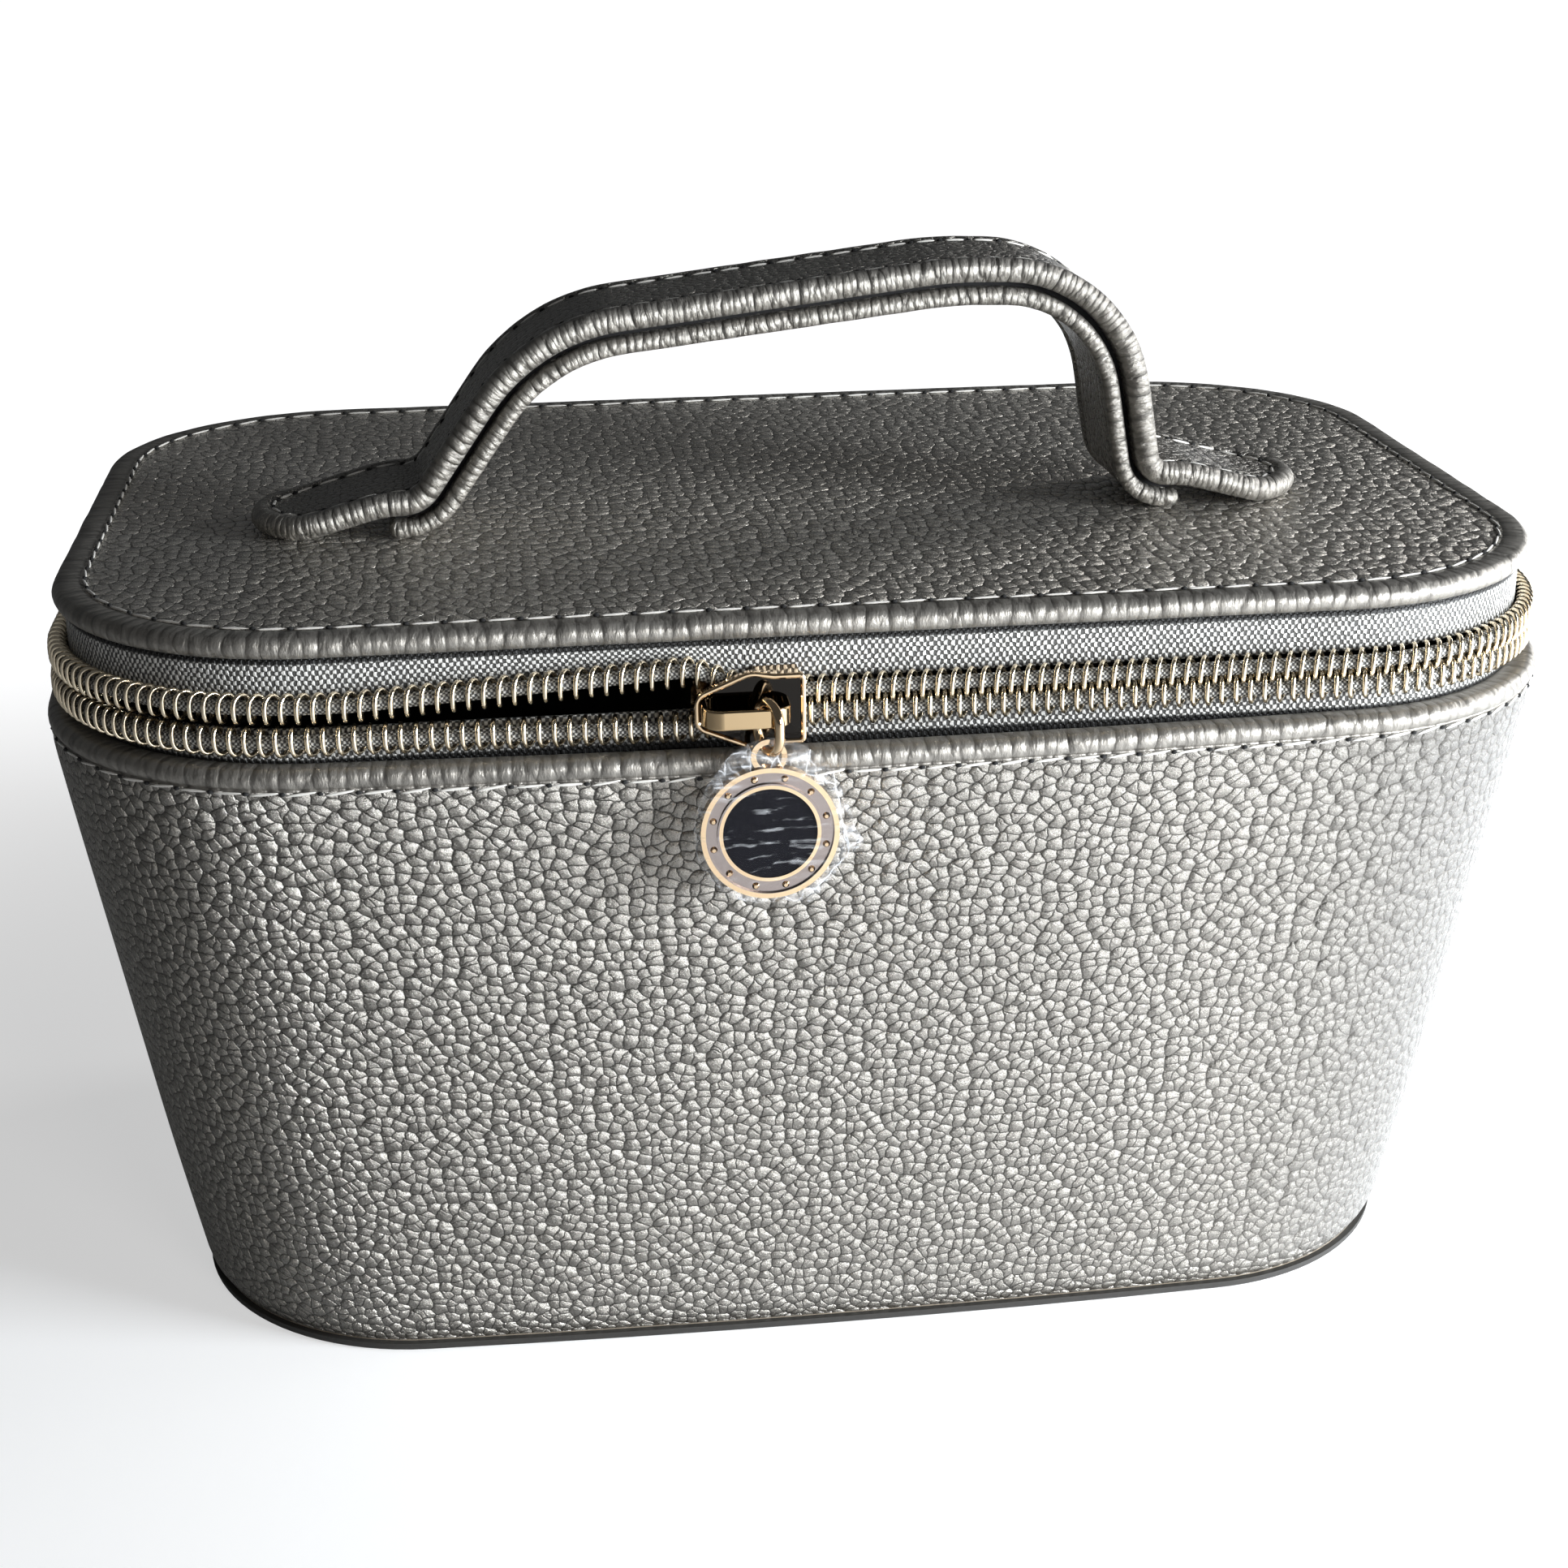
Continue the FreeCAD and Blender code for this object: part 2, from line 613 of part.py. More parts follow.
def bar_solid():
    """Flat band arched over the slider's front, on which the pull link rides."""
    half_t = BAR_T / 2

    def arch(grow):
        half_l = BAR_HALF_L + grow
        front = -BAR_RISE - grow
        bend = BAR_BEND_R + grow
        cut = bend * (1 - math.sqrt(0.5))
        a = Vector(-half_l, 0, 0)
        b = Vector(-half_l, front + bend, 0)
        bc = Vector(-half_l + cut, front + cut, 0)
        c = Vector(-half_l + bend, front, 0)
        d = Vector(half_l - bend, front, 0)
        de = Vector(half_l - cut, front + cut, 0)
        e = Vector(half_l, front + bend, 0)
        f = Vector(half_l, 0, 0)
        return [Part.LineSegment(a, b).toShape(), Part.Arc(b, bc, c).toShape(),
                Part.LineSegment(c, d).toShape(), Part.Arc(d, de, e).toShape(),
                Part.LineSegment(e, f).toShape()], a, f

    outer, outer_a, outer_f = arch(half_t)
    inner, inner_a, inner_f = arch(-half_t)
    ends = [Part.LineSegment(outer_a, inner_a).toShape(),
            Part.LineSegment(outer_f, inner_f).toShape()]
    face = Part.Face(Part.Wire(Part.__sortEdges__(outer + inner + ends)))
    solid = face.extrude(UP * BAR_H)
    long_ones = []
    for edge in solid.Edges:
        box = edge.BoundBox
        if box.ZLength < SAME and box.YMax < SAME and edge.Length > BAR_T + BAR_ROUND:
            long_ones.append(edge)
    solid = solid.makeFillet(BAR_ROUND, long_ones)
    middle = Vector(SLIDER_X + BAR_X, -LID_HALF_Y - PLATE_FRONT, ZIP_Z - BAR_H / 2)
    solid.translate(middle)
    return solid


def slider_parts():
    front = slider_prism(plate_outline(), PLATE_U, PLATE_FRONT)
    rim = []
    for edge in front.Edges:
        box = edge.BoundBox
        if box.YLength < SAME and abs(box.YMin + LID_HALF_Y + PLATE_FRONT) < SAME:
            rim.append(edge)
    front = front.makeFillet(PLATE_ROUND, rim)
    flange_in = TAPE_FACE + SLIDER_GAP
    end = SLIDER_L / 2 - TAIL_R
    flanges = []
    for side in (1, -1):
        low = min(side * FLANGE_Z, side * TAIL_HALF_H)
        corner = Vector(SLIDER_X + MESH_END, -LID_HALF_Y - PLATE_U, ZIP_Z + low)
        flanges.append(Part.makeBox(end - MESH_END, PLATE_U - flange_in, FLANGE_T, corner))
    save("slider_front_plate", front.multiFuse(flanges).removeSplitter())
    save("slider_back_plate",
         slider_prism(plate_outline(), BACK_PLATE_U - BACK_PLATE_T, BACK_PLATE_U))
    save("slider_post", slider_prism(post_outline(), BACK_PLATE_U, PLATE_U))
    save("slider_bar", bar_solid())


# ---- pull link and pendant, hanging straight down from the bar -------------------
LINK_TOP = BAR_H / 2 + LINK_WIRE_R + LINK_PLAY
LINK_DROP = 2 * LINK_R + LINK_STRAIGHT - LINK_TOP
BAIL_Z = ZIP_Z - LINK_DROP - BAIL_PLAY
PENDANT_X = SLIDER_X + LINK_X
PENDANT_Z = BAIL_Z - BAIL_R - PENDANT_R + BAIL_SINK


def link_solid():
    radius = LINK_R
    straight = LINK_STRAIGHT / 2
    z = ZIP_Z + LINK_TOP - radius - straight
    a = Vector(radius, 0, straight)
    b = Vector(-radius, 0, straight)
    c = Vector(-radius, 0, -straight)
    d = Vector(radius, 0, -straight)
    path = Part.Wire([Part.Arc(a, Vector(0, 0, straight + radius), b).toShape(),
                      Part.LineSegment(b, c).toShape(),
                      Part.Arc(c, Vector(0, 0, -straight - radius), d).toShape(),
                      Part.LineSegment(d, a).toShape()])
    section = Part.Wire([Part.Circle(a, UP, LINK_WIRE_R).toShape()])
    ring_solid = path.makePipeShell([section], True, False)
    ring_solid.rotate(Vector(0, 0, 0), UP, -LINK_TURN)
    ring_solid.translate(Vector(PENDANT_X, BAR_Y, z))
    return ring_solid


def disc(radius, low_u, high_u):
    """Round disc facing the viewer, centred on the pendant."""
    start = Vector(PENDANT_X, -LID_HALF_Y - low_u, PENDANT_Z)
    return Part.makeCylinder(radius, high_u - low_u, start, BACK * -1)


def pendant_parts():
    back_u = BAR_U - PENDANT_T / 2
    front_u = BAR_U + PENDANT_T / 2
    band_u = front_u - PENDANT_RELIEF
    frame = disc(PENDANT_R, back_u, front_u)
    hollow = disc(PENDANT_R - PENDANT_RIM, band_u, front_u)
    inner_rim = disc(ENAMEL_R + PENDANT_RIM, band_u, front_u)
    frame = frame.cut(hollow.cut(inner_rim))
    frame = frame.cut(disc(ENAMEL_R, front_u - ENAMEL_T, front_u))
    start = Vector(PENDANT_X, -LID_HALF_Y - BAR_U + BAIL_T / 2, BAIL_Z)
    bail = Part.makeCylinder(BAIL_R, BAIL_T, start, BACK * -1)
    hole = Part.makeCylinder(BAIL_HOLE_R, 2 * BAIL_T, start + BACK * (BAIL_T / 2), BACK * -1)
    save("pendant_frame", frame.fuse(bail).cut(hole).removeSplitter())
    save("pendant_enamel", disc(ENAMEL_R, front_u - ENAMEL_T, front_u - PENDANT_RELIEF / 2))
    ring_r = (PENDANT_R - PENDANT_RIM + ENAMEL_R + PENDANT_RIM) / 2
    pips = []
    for i in range(PIP_COUNT):
        turn = 2 * math.pi * (i + 0.5) / PIP_COUNT
        spot = Vector(PENDANT_X + ring_r * math.sin(turn), -LID_HALF_Y - band_u,
                      PENDANT_Z + ring_r * math.cos(turn))
        pips.append(Part.makeCone(PIP_R, PIP_R / 2, PIP_H, spot, BACK * -1))
    save("pendant_pips", Part.makeCompound(pips))
    save("pendant_film", film())


def film():
    """Clear sleeve of film, open at the top, pulled over the pendant."""
    reach = PENDANT_R + FILM_SIDE
    depth = PENDANT_T / 2 + FILM_GAP
    sleeve = film_block(reach + FILM_T, depth + FILM_T, FILM_T)
    inside = film_block(reach, depth, 0)
    opening = film_block(reach, depth, 0)
    opening.translate(UP * FILM_TOP)
    return sleeve.cut(inside).cut(opening)


def film_block(half_w, half_d, extra):
    low = PENDANT_Z - PENDANT_R - FILM_SIDE - extra
    high = PENDANT_Z + PENDANT_R + FILM_TOP
    corner = Vector(PENDANT_X - half_w, BAR_Y - half_d, low)
    return Part.makeBox(2 * half_w, 2 * half_d, high - low, corner)


def main():
    body_parts()
    tape_parts()
    strip_parts()
    lid_parts()
    coil_parts()
    handle_parts()
    slider_parts()
    save("pull_link", link_solid())
    pendant_parts()


main()
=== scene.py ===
import bisect
import math
import random
import bmesh
import bpy
from bpy.props import FloatProperty, FloatVectorProperty, PointerProperty
from mathutils import Matrix, Vector, noise


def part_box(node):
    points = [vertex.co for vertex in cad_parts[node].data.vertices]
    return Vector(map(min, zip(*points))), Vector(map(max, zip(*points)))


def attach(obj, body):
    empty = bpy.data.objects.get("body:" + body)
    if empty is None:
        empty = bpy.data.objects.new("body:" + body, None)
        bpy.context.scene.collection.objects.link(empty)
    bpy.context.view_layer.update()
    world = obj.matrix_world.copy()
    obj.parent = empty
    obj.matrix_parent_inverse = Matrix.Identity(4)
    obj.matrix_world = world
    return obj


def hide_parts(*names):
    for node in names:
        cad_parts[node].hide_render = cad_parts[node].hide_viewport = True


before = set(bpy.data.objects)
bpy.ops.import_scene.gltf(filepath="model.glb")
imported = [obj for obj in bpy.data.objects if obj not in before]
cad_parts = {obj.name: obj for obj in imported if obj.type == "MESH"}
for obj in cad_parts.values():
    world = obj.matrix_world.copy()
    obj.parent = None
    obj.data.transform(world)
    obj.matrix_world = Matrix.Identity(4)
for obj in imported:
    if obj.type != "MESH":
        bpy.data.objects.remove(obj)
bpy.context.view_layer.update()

bl_info = {
    "name": "Vanity case",
    "version": (1, 0, 0),
    "blender": (4, 2, 0),
    "location": "View3D > Sidebar > Vanity case",
    "description": "Builds a zipped vanity case in grained leather, with its stage",
    "category": "Add Mesh",
}

MM = 0.001

# The camera of the photo: angles in radians, focal length and side in its pixels.
AZIMUTH, ELEVATION, ROLL = -0.121927, 0.363234, -0.010030
FOCAL_PX, PHOTO_PX, SENSOR_MM = 3124.798, 1932.0, 36.0
CAMERA_PLACE_MM = (-52.761, -433.549, 242.001)
# Name, place and side in metres, power in watts and tint of each area light.
LAMPS = [("key", (0.62, -0.38, 0.2), 0.3, 15.0, (0.9, 0.95, 1.0)),
         ("front", (0.5, -1.2, 0.35), 0.35, 4.0, (1.0, 0.98, 0.95)),
         ("side", (0.7, 0.25, 0.27), 0.25, 2.5, (1.0, 1.0, 1.0))]
LAMP_TARGET = (0, 0, 0.07)

# Degrees round the pendant, clockwise from its right, and the film's reach there in mm.
FILM_EDGE = [(0, 12.8), (9, 14.4), (24, 12.2), (45, 12.0), (62, 13.0), (80, 11.2),
             (112, 11.6), (150, 11.5), (180, 11.3), (205, 11.6), (232, 12.6),
             (252, 14.4), (270, 15.0), (288, 14.6), (306, 13.8), (335, 12.2), (360, 12.8)]
# How far the wall turns in at its foot and under the rim, in mm, and the part of its
# height that this takes.
FOOT_IN, FOOT_PART = 1.2, 1 / 26
NECK_IN, NECK_PART = 0.45, 1 / 40
# Points across the handle's straps along a long side, a corner and a short side.
STRAP_STEPS = (150, 16, 12)
WALL_ROWS, TURN_STEPS, BEND_STEPS = 44, 18, 12
# Lengths in mm between the points of a tape, a cord and the slider's border.
TAPE_STEP, CORD_STEP, BORDER_STEP = 1.6, 0.75, 0.3
# Gap between coils that are open, and radius of a needle hole, in mm.
COIL_GAP, HOLE_R = 0.15, 0.36


def mm(name, text, value):
    """A length, written in millimetres and kept in metres."""
    return FloatProperty(name=name, description=text, default=value * MM, unit="LENGTH",
                         min=-0.4, max=0.4, precision=4)


def pair(name, text, left, right):
    """A length at the left and at the right end of the handle."""
    return FloatVectorProperty(name=name, description=text, default=(left * MM, right * MM),
                               size=2, unit="LENGTH", min=-0.4, max=0.4, precision=4)


def colour(name, text, value):
    return FloatVectorProperty(name=name, description=text, subtype="COLOR", size=3,
                               default=value, min=0, max=1)


class CaseSizes(bpy.types.PropertyGroup):
    """Sizes of the case"""
    lid_x: mm("Lid length", "Half the length of the lid", 120.0)
    lid_y: mm("Lid depth", "Half the depth of the lid", 78.0)
    lid_r: mm("Lid corners", "Radius of the lid's corners", 42.0)
    base_x: mm("Base length", "Half the length of the base", 108.0)
    base_y: mm("Base depth", "Half the depth of the base", 61.0)
    base_r: mm("Base corners", "Radius of the base's corners", 41.0)
    base_bow: mm("Base bulge", "Bulge of the base's long sides", 1.5)
    side_bow: mm("End bulge", "Bulge of the short sides", 1.0)
    base_top: mm("Foot of the wall", "Height at which the wall starts", 1.5)
    slump: mm("Foot spread", "Spread of the wall's right end at its foot", 4.4)
    slump_h: mm("Spread height", "Height at which the spread has gone", 34.0)
    rim_out: mm("Rim overhang", "Rim outside the lid's plan", 2.6)
    rim_bow: mm("Rim bulge", "Bulge of the rim's long sides", 2.4)
    rim_drop: mm("Rim drop", "Rim below the middle of the zip", 6.3)
    hem_h: mm("Rim roll", "Height of the roll round the rim", 3.4)
    zip_z: mm("Zip height", "Height of the middle of the zip", 119.0)
    lid_rise: mm("Lid rise", "Lid above the middle of the zip", 9.7)
    lid_edge_h: mm("Lid roll", "Height of the roll round the lid", 3.6)
    lid_stitch: mm("Lid stitching", "Stitching inside the lid's edge", 5.2)
    stitch_pitch: mm("Stitch pitch", "Length from stitch to stitch", 5.6)
    tape_face: mm("Tape face", "Face of the tapes from the lid's plan", -1.7)
    tape_t: mm("Tape thickness", "Thickness of the tapes", 0.8)
    tape_up: mm("Upper tape", "Upper tape above the middle of the zip", 3.1)
    tape_down: mm("Lower tape", "Lower tape below the middle of the zip", 1.2)
    coil_w: mm("Coil height", "Height of one coil", 4.9)
    coil_d: mm("Coil depth", "Depth of one coil", 3.3)
    coil_pitch: mm("Coil pitch", "Length from turn to turn", 2.25)
    coil_wire: mm("Coil wire", "Thickness of the coil's wire", 0.76)
    coil_mesh: mm("Coil mesh", "Height that closed coils share", 1.6)
    coil_rise: mm("Zip gap", "Extra gap beside the slider", 3.6)
    open_length: mm("Zip opening", "Run of the opened gap", 50.0)
    cord_clear: mm("Cord ends", "Cord ends from the ends of the zip", 45.0)
    cord_r: mm("Cord radius", "Radius of the cord inside a coil", 1.15)
    strip_x: mm("Hinge strip", "Half the length of the hinge strip", 58.0)
    slider_x: mm("Slider place", "Middle of the slider, to the right", -14.5)
    slider_l: mm("Slider length", "Length of the slider", 16.4)
    slider_edge: mm("Slider edge", "Radius of the border of its face", 0.42)
    strap_w: mm("Strap width", "Width of the upper strap", 27.0)
    strap_t: mm("Strap thickness", "Thickness of the upper strap", 4.0)
    strap_stitch: mm("Strap stitching", "Stitching inside the strap's roll", 1.8)
    under_w: mm("Under strap width", "Width of the under strap", 25.0)
    under_t: mm("Under strap thickness", "Thickness of the under strap", 2.8)
    under_r: mm("Under strap corners", "Radius of its corners", 2.0)
    core_t: mm("Core thickness", "Thickness of the handle's core", 1.0)
    handle_y: mm("Handle depth", "Handle behind the middle of the lid", -13.5)
    tip: pair("Tips", "Tips of the upper strap", -90.5, 88.5)
    toe: pair("Toes", "Ends of the under strap", -67.8, 65.7)
    foot: pair("Feet", "Places of the feet", -61.0, 57.9)
    foot_r: pair("Foot radii", "Bends at the feet", 8.0, 6.0)
    shoulder: pair("Shoulders", "Places of the shoulders", -41.6, 52.0)
    drop: pair("Shoulder drops", "Shoulders below the grip", 7.8, 0.8)
    shoulder_r: pair("Shoulder radii", "Bends at the shoulders", 30.0, 21.0)
    grip_x: mm("Grip place", "Top of the grip, to the right", 26.0)
    grip_rise: mm("Grip rise", "Grip above the lid", 38.6)
    grip_r: mm("Grip radius", "Bend at the top of the grip", 70.0)
    step_l: mm("Slope length", "Slope beside the under strap", 14.0)
    step_r: mm("Slope radius", "Bends of that slope", 19.0)


class CaseColours(bpy.types.PropertyGroup):
    """Colours of the case, linear"""
    leather: colour("Leather", "Grains of the leather", (0.272, 0.256, 0.230))
    # Painted shade: the dark colour put in the leather's creases and roll wrinkles; half of
    # it darkens the base cover.
    shaded_crease: colour("Creases", "Creases of the leather", (0.055, 0.051, 0.045))
    # Painted light: the tone the wall's right end takes for the strong light that falls
    # there.
    right_end_light_tone: colour("Right end", "Wall leather at its right end", (0.178, 0.172, 0.163))
    thread: colour("Thread", "Stitches", (0.62, 0.60, 0.56))
    tape: colour("Zip tape", "Cloth of the zip", (0.34, 0.335, 0.32))
    gold: colour("Gold", "Slider, link and pendant", (0.66, 0.49, 0.31))
    bar: colour("Bar", "Bridge bar of the slider", (0.55, 0.40, 0.23))
    mirror: colour("Dark mirror", "Face of the slider", (0.02, 0.018, 0.016))
    band: colour("Pendant band", "Dull band of the pendant", (0.34, 0.29, 0.27))
    coil: colour("Coil", "Wire of the zip", (0.86, 0.74, 0.55))
    enamel: colour("Enamel", "Disc of the pendant", (0.004, 0.004, 0.006))
    lining: colour("Lining", "Cloth inside the case", (0.012, 0.012, 0.013))
    card: colour("Board", "Boards in the walls", (0.25, 0.21, 0.16))
    # Painted shade: the near-black of the needle holes, drawn as beads, stands in for the
    # shade inside each hole.
    hole: colour("Needle holes", "Holes of the stitches", (0.006, 0.006, 0.006))
    film: colour("Film", "Clear film on the pendant", (0.95, 0.97, 1.0))
    floor: colour("Floor", "Floor of the stage", (0.55, 0.55, 0.55))


class Millimetres:
    """Reads the sizes in millimetres, rounded off from single precision."""

    def __getattr__(self, name):
        value = getattr(bpy.context.scene.case_sizes, name)
        if isinstance(value, float):
            return round(value / MM, 4)
        return [round(part / MM, 4) for part in value]


size = Millimetres()


def colours():
    return bpy.context.scene.case_colours


# ---- shader nodes ----
class Field:
    """A node socket that can be added, multiplied and so on."""

    def __init__(self, nodes, socket):
        self.nodes = nodes
        self.socket = socket

    def math(self, operation, *others):
        return self.nodes.calculate(operation, self, *others)

    def __add__(self, other):
        return self.math("ADD", other)

    def __sub__(self, other):
        return self.math("SUBTRACT", other)

    def __mul__(self, other):
        return self.math("MULTIPLY", other)

    def __pow__(self, other):
        return self.math("POWER", other)

    def __radd__(self, other):
        return self.nodes.calculate("ADD", other, self)

    def __rsub__(self, other):
        return self.nodes.calculate("SUBTRACT", other, self)

    def __rmul__(self, other):
        return self.nodes.calculate("MULTIPLY", other, self)

    def __rpow__(self, other):
        return self.nodes.calculate("POWER", other, self)

    def step(self, low, high, start=0.0, end=1.0):
        """Smooth step of this field from one range to another."""
        return self.nodes.add("MapRange", {"interpolation_type": "SMOOTHSTEP"},
                              {"Value": self, "From Min": low, "From Max": high,
                               "To Min": start, "To Max": end}, "Result")


class Nodes:
    """Adds nodes to one tree."""

    def __init__(self, tree):
        self.tree = tree

    def add(self, kind, settings, sockets, output=0):
        """One node of a kind: its settings first, then its sockets' values or links."""
        node = self.tree.nodes.new("ShaderNode" + kind)
        for name, value in settings.items():
            setattr(node, name, value)
        for key, value in sockets.items():
            self.join(value, node.inputs[key])
        return Field(self, node.outputs[output])

    def calculate(self, operation, *values):
        return self.add("Math", {"operation": operation}, dict(enumerate(values)))

    def join(self, value, slot):
        if isinstance(value, Field):
            self.tree.links.new(value.socket, slot)
        else:
            slot.default_value = value


class Paint(Nodes):
    """One procedural material."""

    def __init__(self, name, base, roughness, metallic=0.0, **constants):
        self.material = bpy.data.materials.new(name)
        self.material.use_nodes = True
        self.material.diffuse_color = (*base, 1)
        super().__init__(self.material.node_tree)
        self.shader = self.tree.nodes["Principled BSDF"]
        self.set("Base Color", (*base, 1))
        self.set("Roughness", roughness)
        self.set("Metallic", metallic)
        for key, value in constants.items():
            self.set(key.replace("_", " "), value)

    def set(self, name, value):
        self.join(value, self.shader.inputs[name])

    def place(self, which="Object", scale=(1, 1, 1), warp=None, amount=0.0):
        """Object coordinates or a UV layer, scaled, and shifted by a colour field."""
        if which == "Object":
            source = self.add("TexCoord", {}, {}, which)
        else:
            source = self.add("UVMap", {"uv_map": which}, {})
        at = self.add("Mapping", {}, {"Vector": source, "Scale": scale})
        if warp:
            at = self.add("VectorMath", {"operation": "MULTIPLY_ADD"},
                          {0: warp, 1: (amount,) * 3, 2: at})
        return at

    def noise(self, at, scale, detail, coloured=False, **sockets):
        return self.add("TexNoise", {}, {"Vector": at, "Scale": scale, "Detail": detail,
                                         **sockets}, int(coloured))

    def cells(self, at, feature, dimensions="2D", **sockets):
        return self.add("TexVoronoi",
                        {"feature": feature, "voronoi_dimensions": dimensions},
                        {"Vector": at, "Scale": 1.0, **sockets})

    def axis(self, at, index):
        return self.add("SeparateXYZ", {}, {0: at}, index)

    def radius(self, middle):
        """Distance from an axis that runs front to back through a point."""
        place = self.place()
        x = self.axis(place, 0) - middle.x
        up = self.axis(place, 2) - middle.z
        return (x * x + up * up).math("SQRT")

    def blend(self, factor, a, b):
        """Colour from a to b by the factor."""
        a, b = (tone if isinstance(tone, Field) else (*tone, 1) for tone in (a, b))
        return self.add("Mix", {"data_type": "RGBA"}, {0: factor, 6: a, 7: b}, 2)

    def bump(self, height, distance):
        self.set("Normal", self.add("Bump", {}, {"Distance": distance, "Height": height}))


def shade(base, factor):
    return tuple(min(1.0, channel * factor) for channel in base)


def leather(name, which, stretch=(1, 1, 1), cell=490.0, depth=0.0009, lift=1.0,
            ends=False):
    """Pebbled metallic leather: rounded grains with narrow creases between them, the
    creases painted dark as shade.

    which is the UV layer, cell the grains in a metre and lift a painted brightness for the
    light that falls on that surface. With ends, the wall's left end is painted darker as
    shade and its right end gets a duller painted tone for the strong light there, less
    creased."""
    tone = colours()
    base = shade(tone.leather, lift)
    paint = Paint(name, base, 0.3, 0.8)
    scale = tuple(cell * s for s in stretch)
    even = paint.place(which, scale)
    wander = paint.noise(even, 1.0, 3.0, True, Roughness=0.55)
    at = paint.place(which, scale, wander, 0.7)
    near = paint.cells(at, "SMOOTH_F1", Smoothness=0.25, Randomness=0.85)
    edge = paint.cells(at, "DISTANCE_TO_EDGE", Randomness=0.85)
    grain = paint.noise(even, 3.6, 5.0, Roughness=0.75)
    swell = paint.noise(even, 0.5, 1.0)
    broad = paint.noise(even, 0.03, 3.0)
    shaded_crease = edge.step(0.0, 0.09)
    mottle_and_painted_ends = paint.blend(broad, shade(base, 0.86), shade(base, 1.14))
    deep = tone.shaded_crease
    # Painted light and shade on the wall: the left end is darkened towards the crease
    # shade, the right end takes the tone painted for the light there, and its creases are
    # painted paler.
    if ends:
        across = paint.axis(paint.place(), 0)
        mottle_and_painted_ends = paint.blend(across.step(-0.115, -0.03, 0.15, 0.0), mottle_and_painted_ends, tone.shaded_crease)
        mottle_and_painted_ends = paint.blend(across.step(0.06, 0.115), mottle_and_painted_ends, tone.right_end_light_tone)
        deep = paint.blend(across.step(0.03, 0.1), tone.shaded_crease, shade(base, 0.6))
        paint.set("Metallic", across.step(0.05, 0.115, 0.8, 0.55))
    # Painted shade: the creases are painted in the dark crease colour, over the random
    # broad mottle.
    paint.set("Base Color", paint.blend(shaded_crease, deep, mottle_and_painted_ends))
    paint.set("Roughness", 0.33 - shaded_crease * 0.15 + grain * 0.2)
    paint.bump(1.0 - near ** 2.0 * 1.9 + edge.step(0.0, 0.12) * 0.15 + grain * 0.45
               + swell * 0.4, depth)
    return paint.material


def roll_leather(name, across, along, depth):
    """Leather drawn tight over a roll, finely wrinkled across it, its wrinkle hollows
    painted darker as shade.
    """
    tone = colours()
    paint = Paint(name, tone.leather, 0.36, 0.7)
    scale = (along, across, 1.0)
    wander = paint.noise(paint.place("ring", scale), 0.7, 3.0, True, Roughness=0.6)
    at = paint.place("ring", scale, wander, 0.8)
    edge = paint.cells(at, "SMOOTH_F1", Smoothness=0.3, Randomness=0.8)
    grain = paint.noise(at, 3.0, 5.0, Roughness=0.65)
    # Painted shade: the hollows between the wrinkles are blended 40% towards the crease
    # colour.
    paint.set("Base Color", paint.blend(edge.step(0.3, 0.75) * 0.4, tone.leather,
                                        tone.shaded_crease))
    paint.set("Roughness", grain * 0.2 + 0.3)
    paint.bump(grain * 0.35 - edge ** 2.0, depth)
    return paint.material


def weave(name, base, across, along):
    """Plain cloth in UV metres: bright staggered threads over dark gaps, with a painted
    shadow at its seams with the rim and the lid, where their rolls shade it."""
    paint = Paint(name, base, 0.55, 0.4)
    scale = (along, across, 1.0)
    wander = paint.noise(paint.place("ring", scale), 0.4, 2.0, True)
    at = paint.place("ring", scale, wander, 1.3)
    fuzz = paint.noise(at, 0.8, 3.0)
    warp = (paint.axis(at, 0) * math.pi).math("SINE")
    weft = (paint.axis(at, 1) * math.pi).math("SINE")
    thread = (warp * weft + fuzz * 0.8).step(0.05, 0.85)
    up = paint.axis(paint.place(), 2)
    seam_low = (size.zip_z - size.rim_drop) * MM
    seam_high = (size.zip_z + size.lid_rise) * MM
    # Painted shadow: the cloth is painted nearly black in narrow bands just above the rim
    # and just below the lid; this mask is 1 between those bands.
    unshaded_band = (up.step(seam_low + 0.0001, seam_low + 0.0006)
                 * up.step(seam_high - 0.0012, seam_high - 0.0008, 1.0, 0.0))
    cloth = paint.blend(thread, shade(base, 0.2), shade(base, 1.9))
    paint.set("Base Color", paint.blend(unshaded_band, shade(base, 0.03), cloth))
    paint.bump(thread, 0.0003)
    return paint.material


def metal(name, base, roughness):
    paint = Paint(name, base, roughness, 1.0)
    smear = paint.noise(paint.place(scale=(300.0,) * 3), 1.0, 4.0)
    paint.set("Roughness", smear * 0.08 + (roughness - 0.03))
    return paint.material


def matte(name, base, roughness, **constants):
    paint = Paint(name, base, roughness, **constants)
    mottle = paint.noise(paint.place(scale=(900.0,) * 3), 1.0, 3.0)
    paint.set("Base Color", paint.blend(mottle, shade(base, 0.8), shade(base, 1.2)))
    return paint.material


